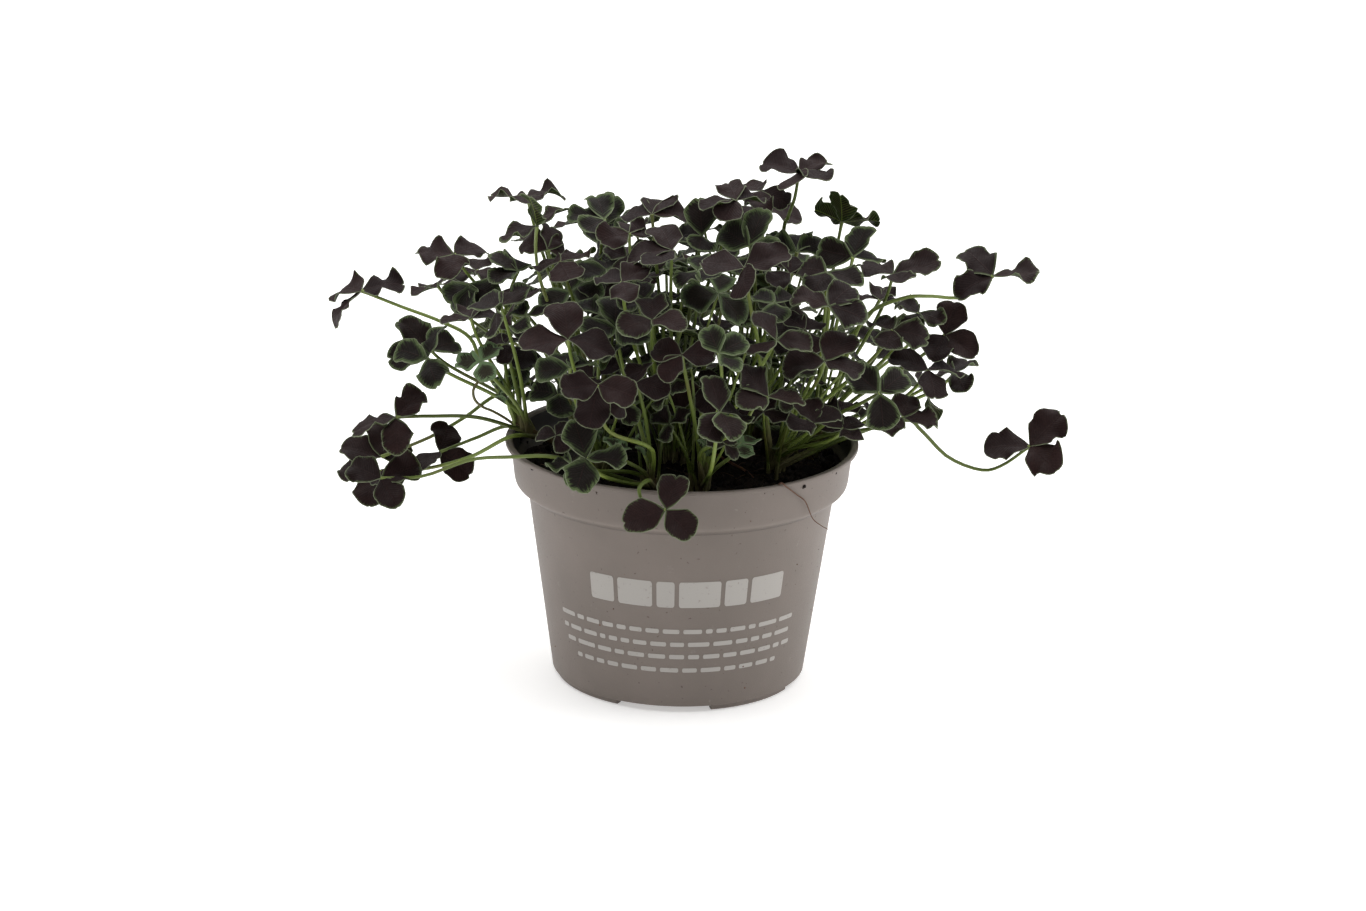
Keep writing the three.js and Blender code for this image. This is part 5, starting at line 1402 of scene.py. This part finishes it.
def make_peat(soil, fibre):
    rng = np.random.default_rng(PEAT_SEED)
    batch = Batch()
    edge = inner_radius(PEAT_LEVEL - 1.2) - 0.1
    floor = FLOOR_TOP + 1.5 + GAP
    angles = TURN * np.arange(PEAT_STEPS) / PEAT_STEPS
    rings = []
    for radius in np.linspace(0.4, edge, PEAT_RINGS):
        ring = ring_points(radius, angles, 0)
        ring[:, 2] = [peat_height(x, y) + clod(x, y) for x, y, _ in ring]
        rings.append(ring)
    rings.append(ring_points(CREASE_RADIUS - WALL - 0.6, angles, CREASE_HEIGHT))
    rings.append(ring_points(BASE_RADIUS - WALL - 0.5, angles, floor))
    rings.append(ring_points(0.4, angles, floor))
    quads = np.array(grid_quads(len(rings), PEAT_STEPS, wrap=True))[:, ::-1]
    batch.add(np.concatenate(rings), quads, 0)
    for _ in range(CRUMB_COUNT):
        spot = on_peat(edge * 0.98, rng)
        size = 0.35 + 1.5 * rng.random() ** 3
        add_crumb(batch, spot + (clod(spot[0], spot[1]) + 0.25 * size) * UP, size, rng)
    for _ in range(FIBRE_COUNT):
        add_fibre(batch, on_peat(edge - 3, rng) + 0.9 * UP, 3 + 9 * rng.random(), rng)
    for _ in range(WALL_CRUMBS):
        angle = TURN * rng.random()
        height = PEAT_LEVEL + 0.5 + 6.5 * rng.random() ** 2
        spot = polar(inner_radius(height) - 0.1, angle, height)
        add_crumb(batch, spot, 0.25 + 0.7 * rng.random() ** 2, rng)
    peat = finish_piece(batch.object("peat_top", [soil, fibre], 80))
    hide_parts("peat")


# Dry roots, and specks of soil on the front of the pot
def make_extras(dry):
    batch = Batch()
    for points, radii, tone in THREADS:
        share = np.linspace(0, 1, 8 * len(points))
        radius = np.interp(share, np.linspace(0, 1, len(radii)), radii)
        add_tube(batch, curve_through(points)(share), radius, 0, (tone, 0, 0), sides=7)
    rng = np.random.default_rng(SPECK_SEED)
    for _ in range(POT_SPECKS):
        angle = math.radians(-170 + 160 * rng.random())
        height = 6 + 76 * rng.random()
        if height < CREASE_HEIGHT:
            radius = wall_radius(height)
        else:
            radius = COLLAR_RADIUS - 0.7 + 0.6 * (height - CREASE_HEIGHT) / COLLAR_HEIGHT
        add_crumb(batch, polar(radius, angle, height), 0.1 + 0.17 * rng.random() ** 2, rng)
    finish_piece(batch.object("loose_bits", [dry]))


def look_from_the_front():
    camera = link(bpy.data.objects.new("camera", bpy.data.cameras.new("camera")))
    camera.data.lens = LENS
    camera.data.sensor_width = SENSOR
    camera.data.clip_end = FARTHEST
    cos, sin = math.cos(VIEW_ROLL), math.sin(VIEW_ROLL)
    x, y = cos * RIGHT + sin * UPRIGHT, cos * UPRIGHT - sin * RIGHT
    place = (EYE + VIEW_ACROSS * RIGHT + POT_CENTRE) * METRES
    rows = np.stack([x, y, -AWAY, place], axis=1).tolist()
    camera.matrix_world = Matrix(rows + [(0, 0, 0, 1)])
    bpy.context.scene.camera = camera


def add_light(name, place, size, radiance, target):
    light = bpy.data.lights.new(name, "AREA")
    light.shape = "RECTANGLE"
    light.size, light.size_y = size
    light.energy = radiance * math.pi * size[0] * size[1]
    lamp = link(bpy.data.objects.new(name, light))
    lamp.location = place
    lamp.rotation_euler = (Vector(target) - lamp.location).to_track_quat("-Z", "Y").to_euler()
    lamp.visible_camera = False


def set_studio():
    world = bpy.data.worlds.new("studio")
    world.use_nodes = True
    background = world.node_tree.nodes["Background"].inputs
    background["Color"].default_value = (1, 1, 1, 1)
    background["Strength"].default_value = WORLD_LIGHT
    bpy.context.scene.world = world
    bpy.context.scene.view_settings.view_transform = "Standard"
    for light in STUDIO_LIGHTS:
        add_light(*light)
    mesh = bpy.data.meshes.new("studio_floor")
    corners = [(-1, -1), (1, -1), (1, 1), (-1, 1)]
    points = [(x * FLOOR_REACH, y * FLOOR_REACH, 0) for x, y in corners]
    mesh.from_pydata(points, [], [(0, 1, 2, 3)])
    mesh.materials.append(floor_material())
    floor = link(bpy.data.objects.new("studio_floor", mesh))


low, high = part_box("pot")
POT_CENTRE = vec(low.x + high.x, low.y + high.y, 0) / (2 * METRES)

look_from_the_front()
set_studio()
make_pot(pot_material())
make_print(print_material())
make_peat(peat_material(), fibre_material())
make_extras(root_material())
make_clover([blade_material(False), blade_material(True), stalk_material(), sheath_material()])
